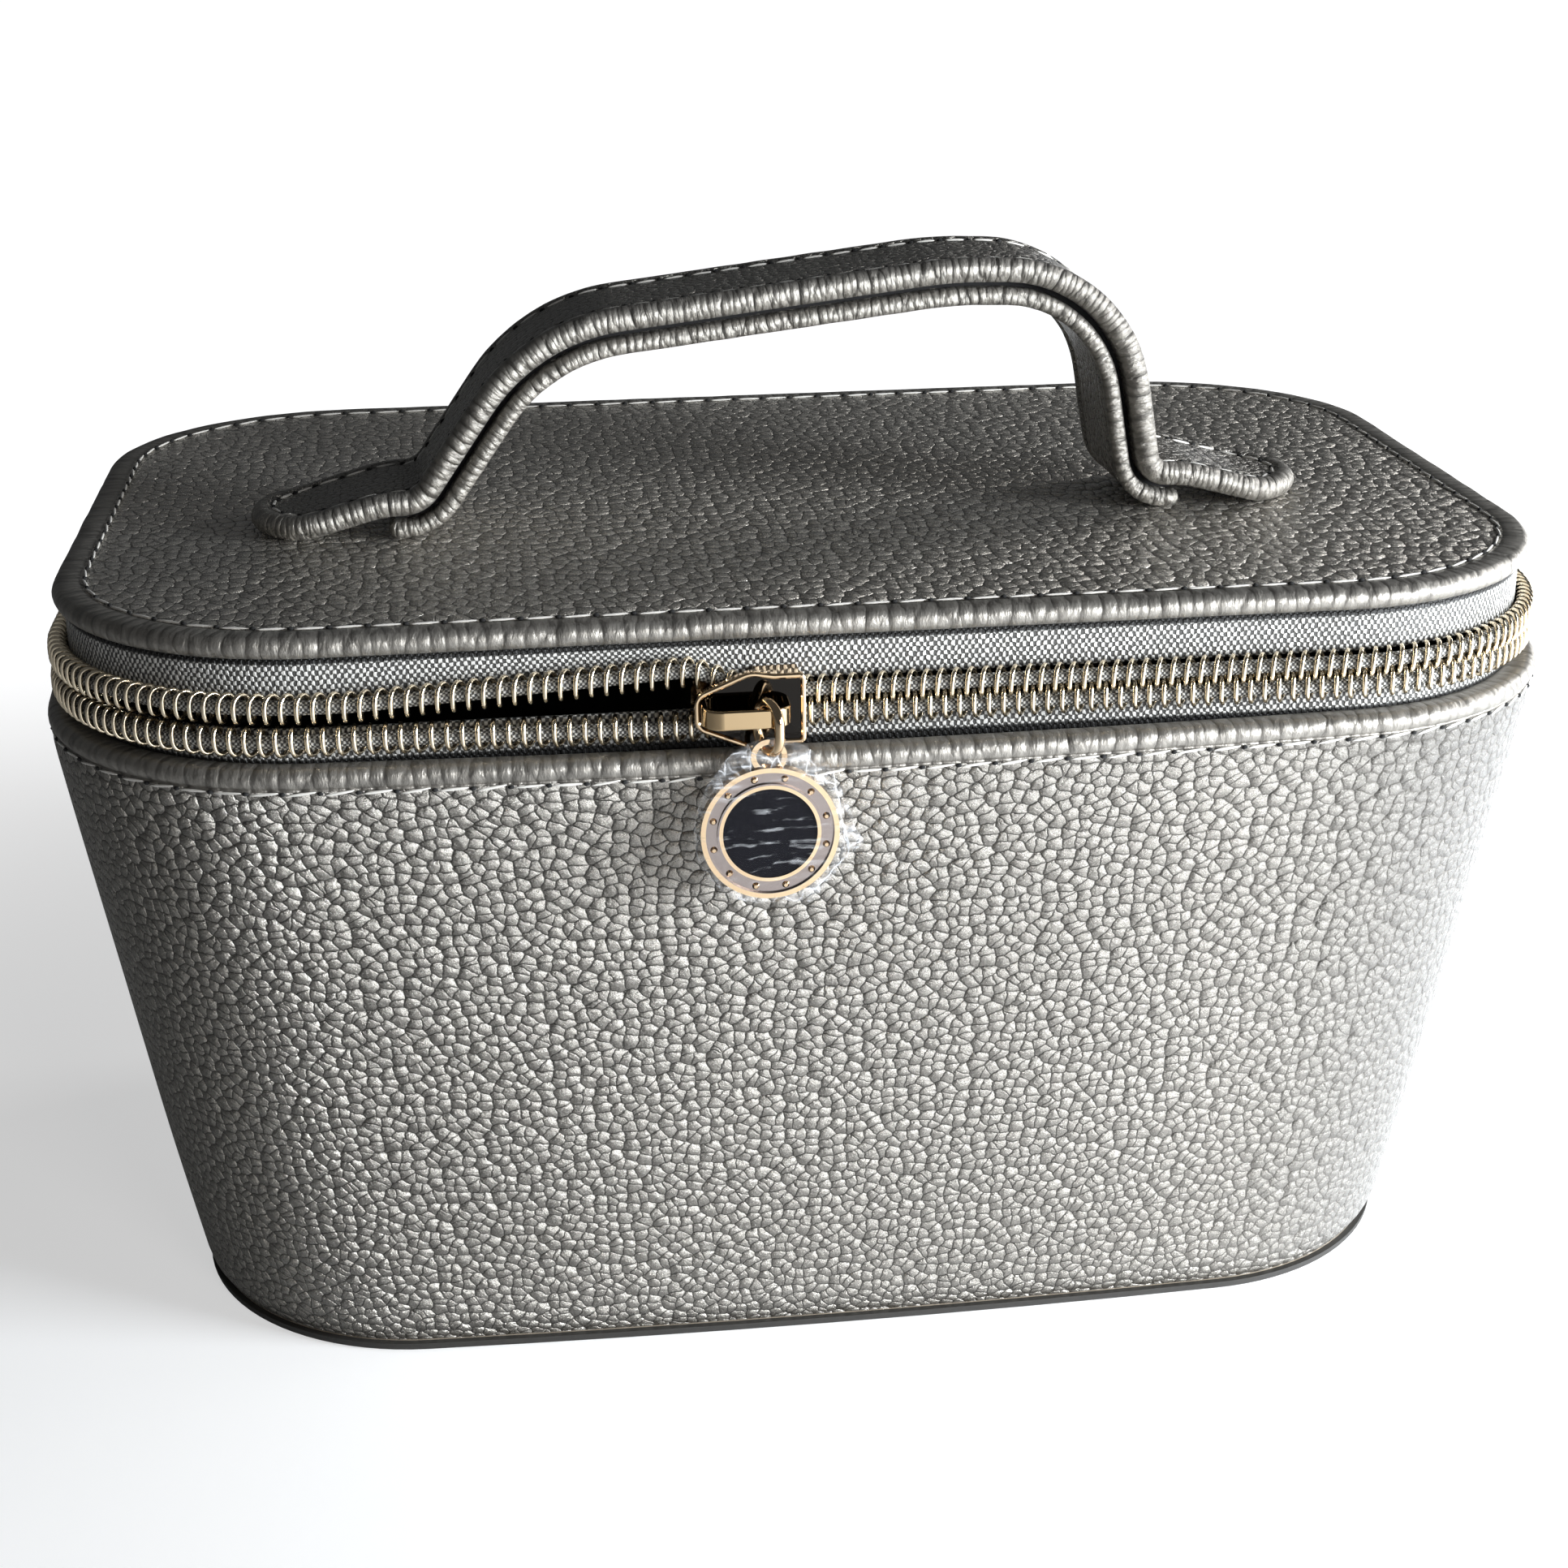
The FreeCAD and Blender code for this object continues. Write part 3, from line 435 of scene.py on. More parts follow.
def film_paint(name, middle, face_r):
    """Clear crumpled film: nearly invisible on the face, whiter on its folds and rim."""
    paint = Paint(name, colours().film, 0.08, 0.0, Alpha=0.05)
    bend = paint.noise(paint.place(scale=(500.0,) * 3), 0.5, 2.0, True)
    streak = paint.noise(paint.place("Object", (260.0, 260.0, 1500.0), bend, 2.0), 0.6, 3.0)
    folds = paint.cells(paint.place("Object", (260.0, 260.0, 130.0), bend, 0.5),
                        "DISTANCE_TO_EDGE", "3D")
    line = folds.step(0.0, 0.04, 1.0, 0.0)
    rim = paint.radius(middle).step(face_r * 0.96, face_r * 1.08)
    veil = streak.step(0.56, 0.7) * 0.2 + 0.004
    paint.set("Alpha", veil + rim * (line * 0.3 + streak.step(0.45, 0.7) * 0.16 + 0.03))
    paint.bump(folds.step(0.0, 0.5) * rim + streak * 0.5, 0.0012)
    return paint.material


def pendant_metal(name, middle, inner, outer):
    """Gold edges with a duller band between two radii round the pendant's middle."""
    tone = colours()
    edge_tone = shade(tone.gold, 1.25)
    paint = Paint(name, edge_tone, 0.15, 1.0)
    radius = paint.radius(middle)
    soft = 0.0001
    band = radius.step(inner, inner + soft) * radius.step(outer, outer + soft, 1.0, 0.0)
    brushed = paint.noise(paint.place(scale=(900.0,) * 3), 1.0, 4.0)
    paint.set("Base Color", paint.blend(band, edge_tone, tone.band))
    paint.set("Roughness", band * 0.12 + brushed * 0.12 + 0.06)
    return paint.material


def floor_paint(name, base):
    """Pale floor. The camera sees it glow, less near the case and to its left as a painted
    soft shadow, and white further away and towards the light; other rays see a painted
    glow, dark on the left and bright on the right, that lights the case from the right
    only."""
    paint = Paint(name, base, 0.9, 0.0, Emission_Strength=2.0)
    mottle = paint.noise(paint.place(scale=(3.0,) * 3), 1.0, 2.0)
    paint.set("Base Color", paint.blend(mottle, shade(base, 0.99), shade(base, 1.01)))
    at = paint.place()
    x = paint.axis(at, 0)
    y = paint.axis(at, 1)
    # Painted shadow: the camera sees less glow within about half a metre of the case and on
    # its left.
    away = (x * x + y * y).math("SQRT").step(0.15, 0.5)
    out_of_painted_shadow = (x.step(-0.2, 0.2) * 0.4 + away).math("MINIMUM", 1.0)
    seen = paint.blend(out_of_painted_shadow, (0.26, 0.26, 0.26), (0.5, 0.5, 0.5))
    # Painted light: the glow other rays see, near black on the left and pale blue on the
    # right, lights the case like a lamp.
    floor_glow = paint.blend(x.step(-0.12, 0.22), (0.01, 0.01, 0.01), (0.8, 0.83, 0.87))
    camera_ray = paint.add("LightPath", {}, {}, "Is Camera Ray")
    paint.set("Emission Color", paint.blend(camera_ray, floor_glow, seen))
    return paint.material


# ---- plans and paths ----
def running(points):
    """Length along a line of points, from its start to each of them."""
    lengths = [0.0]
    for a, b in zip(points, points[1:]):
        lengths.append(lengths[-1] + (b - a).length)
    return lengths


def ease(value, low, high):
    t = min(1.0, max(0.0, (value - low) / (high - low)))
    return t * t * (3 - 2 * t)


def ripple(x, y, step, layer):
    """Smooth noise from -1 to 1 over a plan; step is its fineness per millimetre."""
    return noise.noise(Vector((x * step, y * step, layer)))


class Plan:
    """Rounded rectangle with bulging sides, clockwise from the middle of its back.

    steps are the points on a long side, on a corner and on a short side."""

    def __init__(self, half_x, half_y, radius, bow_y=0.0, bow_x=0.0, steps=(40, 24, 26)):
        end_x = half_x - radius
        end_y = half_y - radius
        lean_y = 2 * math.atan2(max(bow_y, 1e-3), end_x)
        lean_x = 2 * math.atan2(max(bow_x, 1e-3), end_y)
        big_y = (end_x + radius * math.sin(lean_y)) / math.sin(lean_y)
        big_x = (end_y + radius * math.sin(lean_x)) / math.sin(lean_x)
        deep_y = end_y + (radius - big_y) * math.cos(lean_y)
        deep_x = end_x + (radius - big_x) * math.cos(lean_x)
        quarter = math.pi / 2
        # Back, right, front and left side, each with the corner that follows it.
        sides = [((0.0, deep_y, big_y), lean_y, lean_x, steps[0], (end_x, end_y)),
                 ((deep_x, 0.0, big_x), lean_x, lean_y, steps[2], (end_x, -end_y)),
                 ((0.0, -deep_y, big_y), lean_y, lean_x, steps[0], (-end_x, -end_y)),
                 ((-deep_x, 0.0, big_x), lean_x, lean_y, steps[2], (-end_x, end_y))]
        arcs = []
        for k, (side, lean, other, count, corner) in enumerate(sides):
            turn = k * quarter
            arcs.append((*side, turn - lean, turn + lean, count))
            arcs.append((*corner, radius, turn + lean, turn + quarter - other, steps[1]))
        x, y, reach, start, end, count = arcs[0]
        arcs[0] = (x, y, reach, 0.0, end, count // 2)
        arcs.append((x, y, reach, 4 * quarter + start, 4 * quarter, count // 2))
        self.points = []
        for x, y, reach, start, end, count in arcs:
            for i in range(count):
                a = start + (end - start) * i / count
                across, deep = math.sin(a), math.cos(a)
                self.points.append((Vector((x + reach * across, y + reach * deep)),
                                    Vector((across, deep))))
        self.points.append(self.points[0])
        self.count = len(self.points) - 1
        self.lengths = running([point for point, _ in self.points])
        self.length = self.lengths[-1]

    def along(self, s):
        """Point and outward direction at a length from the start."""
        s = s % self.length
        i = min(bisect.bisect_right(self.lengths, s), len(self.points) - 1)
        span = self.lengths[i] - self.lengths[i - 1]
        t = (s - self.lengths[i - 1]) / span if span else 0.0
        a, b = self.points[i - 1], self.points[i]
        return a[0].lerp(b[0], t), a[1].lerp(b[1], t).normalized()


class Bend:
    """Line in an upright plane with rounded corners, from (x, z, radius) points."""

    def __init__(self, corners, depth):
        self.depth = depth
        self.points = [Vector(corners[0][:2])]
        for before, here, after in zip(corners, corners[1:], corners[2:]):
            spot = Vector(here[:2])
            a = (spot - Vector(before[:2])).normalized()
            b = (Vector(after[:2]) - spot).normalized()
            half = a.angle(b) / 2
            reach = here[2] * math.tan(half)
            inward = (b - a).normalized()
            centre = spot + inward * (here[2] / math.cos(half))
            arm = spot - a * reach - centre
            turn = math.copysign(2 * half, a.x * b.y - a.y * b.x)
            for i in range(BEND_STEPS + 1):
                part = Matrix.Rotation(turn * i / BEND_STEPS, 2)
                self.points.append(centre + part @ arm)
        self.points.append(Vector(corners[-1][:2]))
        self.lengths = running(self.points)
        self.length = self.lengths[-1]

    def at(self, s, across, lift):
        """World point at a length along, a place across and a height off the line."""
        s = min(max(s, 0.0), self.length)
        i = min(max(bisect.bisect_right(self.lengths, s), 1), len(self.points) - 1)
        a, b = self.points[i - 1], self.points[i]
        t = (s - self.lengths[i - 1]) / max(self.lengths[i] - self.lengths[i - 1], 1e-9)
        spot = a.lerp(b, t)
        ahead = (self.direction(i) * t + self.direction(i - 1) * (1 - t)).normalized()
        return Vector((spot.x - ahead.y * lift, self.depth + across,
                       spot.y + ahead.x * lift))

    def length_at(self, x):
        """Length from the start at which the line first passes x."""
        i = next(k for k, point in enumerate(self.points) if point.x >= x)
        a, b = self.points[i - 1], self.points[i]
        return self.lengths[i - 1] + (x - a.x) / (b.x - a.x) * (b - a).length

    def direction(self, i):
        low = max(i - 1, 0)
        high = min(i + 1, len(self.points) - 1)
        return (self.points[high] - self.points[low]).normalized()


def lid_plan(out=0.0):
    return Plan(size.lid_x + out, size.lid_y + out, size.lid_r + out)


def rim_plan():
    return Plan(size.lid_x + size.rim_out, size.lid_y + size.rim_out,
                size.lid_r + size.rim_out, size.rim_bow, size.side_bow)


def base_plan():
    return Plan(size.base_x, size.base_y, size.base_r, size.base_bow, size.side_bow)


def lid_top():
    """Height of the top of the lid."""
    return size.zip_z + size.lid_rise + size.lid_edge_h


def hem_low():
    """Height of the underside of the rim roll."""
    return size.zip_z - size.rim_drop - size.hem_h


# ---- meshes ----
def placed(name, data):
    """A new object in the scene."""
    made = bpy.data.objects.new(name, data)
    bpy.context.scene.collection.objects.link(made)
    return made


def finished(name, bm, materials, body, replaces=(), smooth=True):
    """Turns millimetre geometry into a piece that rides on a body.

    materials are names with spaces between, in the order of the faces' indices."""
    bmesh.ops.scale(bm, vec=(MM, MM, MM), verts=bm.verts)
    bmesh.ops.recalc_face_normals(bm, faces=bm.faces)
    mesh = bpy.data.meshes.new(name)
    for face in bm.faces:
        face.smooth = smooth
    bm.to_mesh(mesh)
    bm.free()
    piece = placed(name, mesh)
    for material in materials.split():
        mesh.materials.append(bpy.data.materials[material])
    if replaces:
        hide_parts(*replaces)
    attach(piece, body)
    return piece


def wrapped(bm, nu, nv, place, close_u=False, close_v=False, flat=None, rolls=()):
    """Adds a grid whose points are placed by a function of two counts.

    One UV layer holds the lengths along and across, the other the flat cut, in metres.
    Rows in the rolls take the second material."""
    made = bmesh.ops.create_grid(bm, x_segments=nu, y_segments=nv, size=0.5)
    layer = bm.loops.layers.uv.get("ring") or bm.loops.layers.uv.new("ring")
    cut = bm.loops.layers.uv.get("plan") or bm.loops.layers.uv.new("plan")
    index = {(round((vert.co.x + 0.5) * nu), round((vert.co.y + 0.5) * nv)): vert
             for vert in made["verts"]}
    spots = {key: Vector(place(*key)) for key in index}
    along = [MM * s for s in running([spots[i, nv // 2] for i in range(nu + 1)])]
    across = [MM * s for s in running([spots[0, j] for j in range(nv + 1)])]
    names = {vert: key for key, vert in index.items()}
    for face in {f for v in made["verts"] for f in v.link_faces}:
        rows = [names[loop.vert][1] for loop in face.loops]
        face.material_index = 1 if min(rows) in rolls else 0
        for loop in face.loops:
            i, j = names[loop.vert]
            loop[layer].uv = (along[i], across[j])
            loop[cut].uv = Vector(flat(i, j)) * MM if flat else (along[i], across[j])
    for key, vert in index.items():
        vert.co = spots[key]
    weld = {}
    if close_u:
        weld.update({index[nu, j]: index[0, j] for j in range(nv + 1)})
    if close_v:
        for i in range(nu + 1):
            target = index[i, 0]
            weld[index[i, nv]] = weld.get(target, target)
    if weld:
        bmesh.ops.weld_verts(bm, targetmap=weld)


def tube(bm, points, radius, sides=8, closed=False):
    """Sweeps a circle along points, keeping its frame steady."""
    count = len(points)
    ahead = []
    for i in range(count):
        low = points[(i - 1) % count] if closed or i else points[0]
        high = points[(i + 1) % count] if closed or i < count - 1 else points[-1]
        ahead.append((high - low).normalized())
    ups = [ahead[0].orthogonal().normalized()]
    for i in range(1, count):
        up = ups[-1] - ahead[i] * ups[-1].dot(ahead[i])
        ups.append(up.normalized())
    if closed:
        drift = ups[-1].angle(ups[0])
        if ahead[0].dot(ups[-1].cross(ups[0])) < 0:
            drift = -drift
        for i in range(count):
            ups[i] = Matrix.Rotation(drift * i / count, 3, ahead[i]) @ ups[i]

    def place(i, j):
        i = i % count
        a = 2 * math.pi * j / sides
        side = ahead[i].cross(ups[i])
        return points[i] + (ups[i] * math.cos(a) + side * math.sin(a)) * radius

    wrapped(bm, count if closed else count - 1, sides, place, closed, True)
    if not closed:
        bmesh.ops.holes_fill(bm, edges=[e for e in bm.edges if e.is_boundary], sides=sides)


def cushion(bm, plan, profile, core, place, rings=10, under=0, rolls=0):
    """Skin on a plan: a profile of (out, height) round it, closed to a core line.

    core(point) gives the point each rim point runs in to, above and, with rings
    under, below as well. The first points of the profile, rolls in all, take the
    second material."""
    last = under + len(profile) - 1

    def cut(i, j):
        point, out = plan.points[i % plan.count]
        k = min(max(j - under, 0), len(profile) - 1)
        t = max((j - last) / rings, (under - j) / max(under, 1), 0.0)
        return (point + out * profile[k][0]).lerp(core(point), t)

    def spot(i, j):
        flat = cut(i, j)
        return place(flat.x, flat.y, profile[min(max(j - under, 0), len(profile) - 1)][1])

    wrapped(bm, plan.count, last + rings, spot, True, False, cut,
            range(under, under + rolls))
    bmesh.ops.remove_doubles(bm, verts=bm.verts, dist=0.002)


def edge_roll(name, body, node, plan, section, fineness, waves):
    """Leather rolled over an edge all round a plan, a little uneven.

    section is a list of (out, height); waves are the unevenness outwards, upwards and
    the share of both by which the roll is sunk."""
    bm = bmesh.new()
    out_wave, up_wave, sunk = waves

    def place(i, j):
        point, out = plan.points[i % plan.count]
        wave = ripple(point.x, point.y, fineness[0], j * fineness[1]) - sunk
        flat = point + out * (section[j][0] + out_wave * wave)
        return flat.x, flat.y, section[j][1] + up_wave * wave

    wrapped(bm, plan.count, len(section) - 1, place, True)
    return finished(name, bm, "leather_roll", body, [node])


def arc_profile(centre, radius, start, end, steps):
    """Points of an arc in a cross-section, angles in degrees from outwards to up."""
    made = []
    for i in range(steps + 1):
        a = math.radians(start + (end - start) * i / steps)
        made.append((centre[0] + radius * math.cos(a), centre[1] + radius * math.sin(a)))
    return made


# ---- stitching ----
def bead(bm, point, axes, half_sizes, level):
    grid = Matrix(axes).transposed() @ Matrix.Diagonal(half_sizes)
    bmesh.ops.create_icosphere(bm, subdivisions=level, radius=1.0,
                               matrix=Matrix.Translation(point) @ grid.to_4x4())


def stitch_line(line, whole, pitch):
    """Stitches and holes at even steps on a line(s) that gives a point and an up."""
    count = max(1, round(whole / pitch))
    step = whole / count
    near = 0.3
    threads = []
    holes = []
    for i in range(count):
        s = step * (i + 0.5)
        a, _ = line(s - near)
        b, _ = line(s + near)
        point, up = line(s)
        along = (b - a).normalized()
        up = (up - along * up.dot(along)).normalized()
        threads.append((point, along, up))
        hole, lift = line(step * i)
        holes.append((hole, along, lift))
    return threads, holes


def stitching(name, body, line, whole, pitch, share, thick):
    """A row of slanting threads, each a share of the pitch long, and of needle holes."""
    threads, holes = stitch_line(line, whole, pitch)
    rng = random.Random(len(threads))
    bm = bmesh.new()
    for point, along, up in threads:
        side = up.cross(along).normalized()
        slant = Matrix.Rotation(rng.uniform(0.02, 0.16), 3, up)
        half_sizes = (share / 2, thick * rng.uniform(0.9, 1.1), thick * 0.8)
        bead(bm, point, (slant @ along, slant @ side, up), half_sizes, 2)
    finished(name + "_stitches", bm, "thread", body)
    # The needle holes are near-black beads: painted shade for the dark inside of each hole.
    bm = bmesh.new()
    for point, along, up in holes:
        bead(bm, point, (along, up.cross(along), up), (HOLE_R * 1.6, HOLE_R, HOLE_R), 1)
    finished(name + "_needle_holes", bm, "shaded_needle_hole", body)


# ---- the body ----
def wall_piece():
    """Leather of the wall, a little soft, turned in at its foot and under the rim."""
    base, rim = base_plan(), rim_plan()
    low, high = size.base_top, hem_low()
    bm = bmesh.new()

    def place(i, j):
        t = j / WALL_ROWS
        flat, out = base.points[i % base.count]
        flat = flat.lerp(rim.points[i % base.count][0], t)
        soft = ripple(flat.x, flat.y, 0.018, t * 2.2 + 7.0)
        swell = math.sin(math.pi * min(1.0, t * 1.02)) * (0.5 + 0.7 * soft)
        foot = FOOT_IN * max(0.0, 1 - t / FOOT_PART) ** 2
        neck = NECK_IN * max(0.0, 1 - (1 - t) / NECK_PART)
        flat = flat + out * (swell - foot - neck)
        up = (high - low) * t
        if j:
            wider = size.slump * max(0.0, 1 - up / size.slump_h) ** 1.2
            flat.x += wider * ease(flat.x, 50.0, 100.0) * ease(flat.y, -46.0, -8.0)
        return flat.x, flat.y, low + up

    wrapped(bm, base.count, WALL_ROWS, place, True)
    finished("wall_skin", bm, "leather_wall", "case", ["wall_leather"])


def rim_piece():
    low, top = hem_low(), hem_low() + size.hem_h
    radius = size.hem_h / 2
    section = [(-0.5, low)]
    section += arc_profile((-radius + 0.05, low + radius), radius, -62, 90, 12)
    section += [(-3.2, top), (-4.28, top - 0.2)]
    edge_roll("rim_roll", "case", "rim_hem", rim_plan(), section, (0.11, 0.2),
              (0.09, 0.0, 0.0))


def body_stitching():
    rim = rim_plan()
    inside, below = 0.42, 0.25

    def line(s):
        point, out = rim.along(s)
        flat = point - out * inside
        return (Vector((flat.x, flat.y, hem_low() - below)),
                Vector((out.x, out.y, 0.12)).normalized())

    stitching("body", "case", line, rim.length, size.stitch_pitch,
              size.stitch_pitch * 0.82, 0.22)


# ---- the lid ----
def lid_core(point):
    reach = size.lid_x - size.lid_y + 20
    return Vector((min(max(point.x, -reach), reach), 0.0))


def lid_top_piece():
    """Top leather of the lid, drawn down a little along its stitching."""
    section = [(out - size.lid_stitch, lid_top() - down) for out, down in (
        (0.7, 0.05), (0.35, 0.14), (0, 0.2), (-0.5, 0.16), (-1.2, 0.08), (-2.4, 0.02))]
    bm = bmesh.new()

    def place(x, y, height):
        return x, y, height - 0.12 + 0.12 * ripple(x, y, 0.02, 3.0)

    cushion(bm, lid_plan(), section, lid_core, place, 14)
    finished("lid_top_skin", bm, "leather_top", "lid", ["lid_leather"])


def lid_roll_piece():
    low, top = size.zip_z + size.lid_rise, lid_top()
    radius = size.lid_edge_h / 2
    section = [(-4.4, low + 0.1), (-3.0, low)]
    section += arc_profile((-radius, low + radius), radius, -90, 70, 14)
    section += [(-2.6, top - 0.03), (-3.6, top - 0.02), (-4.3, top - 0.12),
                (-4.7, top - 0.3)]
    edge_roll("lid_roll", "lid", "lid_piping", lid_plan(), section, (0.16, 0.25),
              (0.1, 0.05, 1.0))


def lid_stitching():
    plan = lid_plan(-size.lid_stitch)
    below = 0.12

    def line(s):
        point, _ = plan.along(s)
        return Vector((point.x, point.y, lid_top() - below)), Vector((0, 0, 1))

    stitching("lid", "lid", line, plan.length, size.stitch_pitch,
              size.stitch_pitch * 0.86, 0.24)


# ---- the zip ----
def zip_span(plan):
    """Start and length of the zip on a plan that begins at the middle of the back."""
    return size.strip_x, plan.length - 2 * size.strip_x


def spread(point, upper):
    """Height of a coil's middle from the zip's middle, at a point of its plan.

    The coils mesh to the right of the slider, part in it and close in slowly again."""
    ahead = size.slider_x - point.x
    if point.y > -size.lid_y + size.lid_r:
        ahead = math.copysign(size.lid_x * 2, ahead)
    meet = (size.coil_w - size.coil_mesh) / 2
    rest = (size.coil_w + COIL_GAP) / 2
    full = rest + size.coil_rise * (0.8 if upper else 0.2)
    nose = size.slider_l / 2
    post = -1.0
    if ahead <= post:
        level = meet
    elif ahead <= nose:
        level = meet + (full - meet) * (ahead - post) / (nose - post)
    else:
        level = full + (rest - full) * min(1.0, (ahead - nose) / size.open_length)
    return level if upper else -level


def coil_piece(side, body, flip):
    """Continuous wire coil: a flattened loop whose tight head faces the other coil."""
    plan = lid_plan(size.tape_face + size.coil_d / 2)
    start, whole = zip_span(plan)
    turns = int(whole / size.coil_pitch) - 1
    half_h = (size.coil_w - size.coil_wire) / 2
    half_d = (size.coil_d - size.coil_wire) / 2
    squareness_up, squareness_deep = 0.8, 0.75
    lag, lean = 0.12, 0.2
    lead = 0.25 if flip > 0 else 0.75
    points = []
    for k in range(turns * TURN_STEPS + 1):
        phase = k / TURN_STEPS
        a = 2 * math.pi * phase
        up = math.copysign(abs(math.cos(a)) ** squareness_up, math.cos(a))
        deep = math.copysign(abs(math.sin(a)) ** squareness_deep, math.sin(a))
        # Most of the advance happens on the hidden back legs.
        step = phase + lead + lag * (math.cos(a) - 1) + lean * math.sin(a)
        point, face = plan.along(start + size.coil_wire + step * size.coil_pitch)
        height = size.zip_z + spread(point, flip > 0) + flip * half_h * up
        flat = point + face * (half_d * deep)
        points.append(Vector((flat.x, flat.y, height)))
    bm = bmesh.new()
    tube(bm, points, size.coil_wire / 2, 7)
    finished(side + "_coil_wire", bm, "coil_metal", body, [side + "_coil"])


def cord_piece(side, body, flip):
    """Filler cord that runs inside the coil and is sewn through it."""
    plan = lid_plan(size.tape_face + size.coil_d / 2 - 0.1)
    start, whole = zip_span(plan)
    run = whole - 2 * size.cord_clear
    steps = int(run / CORD_STEP)
    points = []
    for k in range(steps + 1):
        point, _ = plan.along(start + size.cord_clear + run * k / steps)
        height = size.zip_z + spread(point, flip > 0) + flip * 0.15
        points.append(Vector((point.x, point.y, height)))
    bm = bmesh.new()
    tube(bm, points, size.cord_r)
    finished(side + "_cord", bm, "cord_cloth", body, [])


def tape_piece(side, body, flip):
    """Woven tape behind a coil; the upper one rises with its coil beside the gap."""
    upper = flip > 0
    top = size.zip_z + (size.lid_rise if upper else -size.tape_down)
    low = size.zip_z + size.tape_up if upper else hem_low()
    plan = lid_plan(size.tape_face)
    start, whole = zip_span(plan)
    steps = int(whole / TAPE_STEP)
    rows, back = 8, 3
    ring = [(0.0, low + (top - low) * j / rows) for j in range(rows + 1)]
    ring += [(-size.tape_t, top - (top - low) * j / back) for j in range(back + 1)]
    ring.append(ring[0])
    bm = bmesh.new()

    def place(i, j):
        point, out = plan.along(start + whole * i / steps)
        off, height = ring[j]
        flat = point + out * off
        if upper:
            rise = max(0.0, spread(point, True) - (size.coil_w + COIL_GAP) / 2)
            height += rise * (top - height) / (top - low)
        return flat.x, flat.y, height

    wrapped(bm, steps, len(ring) - 1, place, False, True)
    bmesh.ops.holes_fill(bm, edges=[e for e in bm.edges if e.is_boundary], sides=0)
    finished(side + "_zip_tape_cloth", bm, "tape_cloth", body, [side + "_zip_tape"])


def slider_face_piece():
    """Front plate of the slider: a dark mirror inside a rounded gold border."""
    bm = bmesh.new()
    bm.from_mesh(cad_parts["slider_front_plate"].data)
    bmesh.ops.remove_doubles(bm, verts=bm.verts, dist=2e-6)
    bmesh.ops.recalc_face_normals(bm, faces=bm.faces)
    bmesh.ops.scale(bm, vec=(1 / MM,) * 3, verts=bm.verts)
    near = min(v.co.y for v in bm.verts)
    front = {f for f in bm.faces if all(v.co.y < near + 0.02 for v in f.verts)}
    for face in front:
        face.material_index = 1
    border = {}
    for edge in bm.edges:
        if sum(face in front for face in edge.link_faces) == 1:
            for vert in edge.verts:
                border.setdefault(vert, []).append(edge.other_vert(vert))
    start = next(iter(border))
    loop = [start, border[start][0]]
    while True:
        ahead = [v for v in border[loop[-1]] if v is not loop[-2]][0]
        if ahead is start:
            break
        loop.append(ahead)
    line = [v.co.copy() for v in loop]
    even = []
    for a, b in zip(line, line[1:] + line[:1]):
        count = max(1, round((b - a).length / BORDER_STEP))
        even += [a.lerp(b, i / count) for i in range(count)]
    tube(bm, even, size.slider_edge, 10, True)
    finished("slider_face", bm, "gold dark_mirror", "slider", ["slider_front_plate"],
             smooth=False)


# ---- the handle ----
def handle_line():
    """Middle line of the handle, from tip to tip."""
    seat = lid_top() + size.under_t + size.core_t / 2
    flat = lid_top() - size.core_t / 2
    crest = lid_top() + size.grip_rise
    left, right = ([
        (size.tip[end], flat, 0),
        (size.toe[end] + outwards * size.step_l, flat, size.step_r),
        (size.toe[end], seat, size.step_r),
        (size.foot[end], seat, size.foot_r[end]),
        (size.shoulder[end], crest - size.drop[end], size.shoulder_r[end]),
    ] for end, outwards in ((0, -1), (1, 1)))
    grip = (size.grip_x, crest, size.grip_r)
    return Bend([*left, grip, *reversed(right)], size.handle_y)


def strap_piece(side, line, span, width, thick, corner, flip):
    """One padded strap between two lengths of the handle line, on one side of it."""
    half_l = (span[1] - span[0]) / 2
    middle = (span[0] + span[1]) / 2
    plan = Plan(half_l, width / 2, corner, steps=STRAP_STEPS)
    radius = thick / 2
    section = [(-radius - 1.0, 0.0)]
    section += arc_profile((-radius, radius), radius, -90, 78, 12)
    section += [(-radius - out, thick * share) for out, share in (
        (0.6, 0.985), (1.3, 0.9), (1.8, 0.86), (2.5, 0.9), (3.4, 0.93))]
    bm = bmesh.new()

    def place(x, y, height):
        bulge = 0.06 * ripple(x, y, 0.25, height + 5.0) * (height > 0.2)
        return line.at(middle + x, y, flip * (size.core_t / 2 + height + bulge))

    def core(point):
        reach = half_l - width / 2
        return Vector((min(max(point.x, -reach), reach), 0.0))

    cushion(bm, plan, section, core, place, 5, 4, 14)
    return finished(side + "_strap", bm, "leather_strap strap_roll", "lid",
                    ["handle_" + side + "_strap"])


def strap_stitching(line, corner):
    inset = size.strap_t / 2 + size.strap_stitch
    height = size.core_t / 2 + size.strap_t * 0.9
    plan = Plan(line.length / 2 - inset, size.strap_w / 2 - inset, corner - inset,
                steps=STRAP_STEPS)

    def at(s):
        point, _ = plan.along(s)
        low, high = (line.at(line.length / 2 + point.x, point.y, height + more)
                     for more in (0, 1))
        return low, (high - low).normalized()

    stitching("handle", "lid", at, plan.length, size.stitch_pitch * 0.85,
              size.stitch_pitch * 0.64, 0.3)


# ---- the film on the pendant ----
def film_reach(angle):
    for (a, ra), (b, rb) in zip(FILM_EDGE, FILM_EDGE[1:]):
        if a <= angle <= b:
            return ra + (rb - ra) * (angle - a) / (b - a)
    raise ValueError("an angle outside the film's edge")


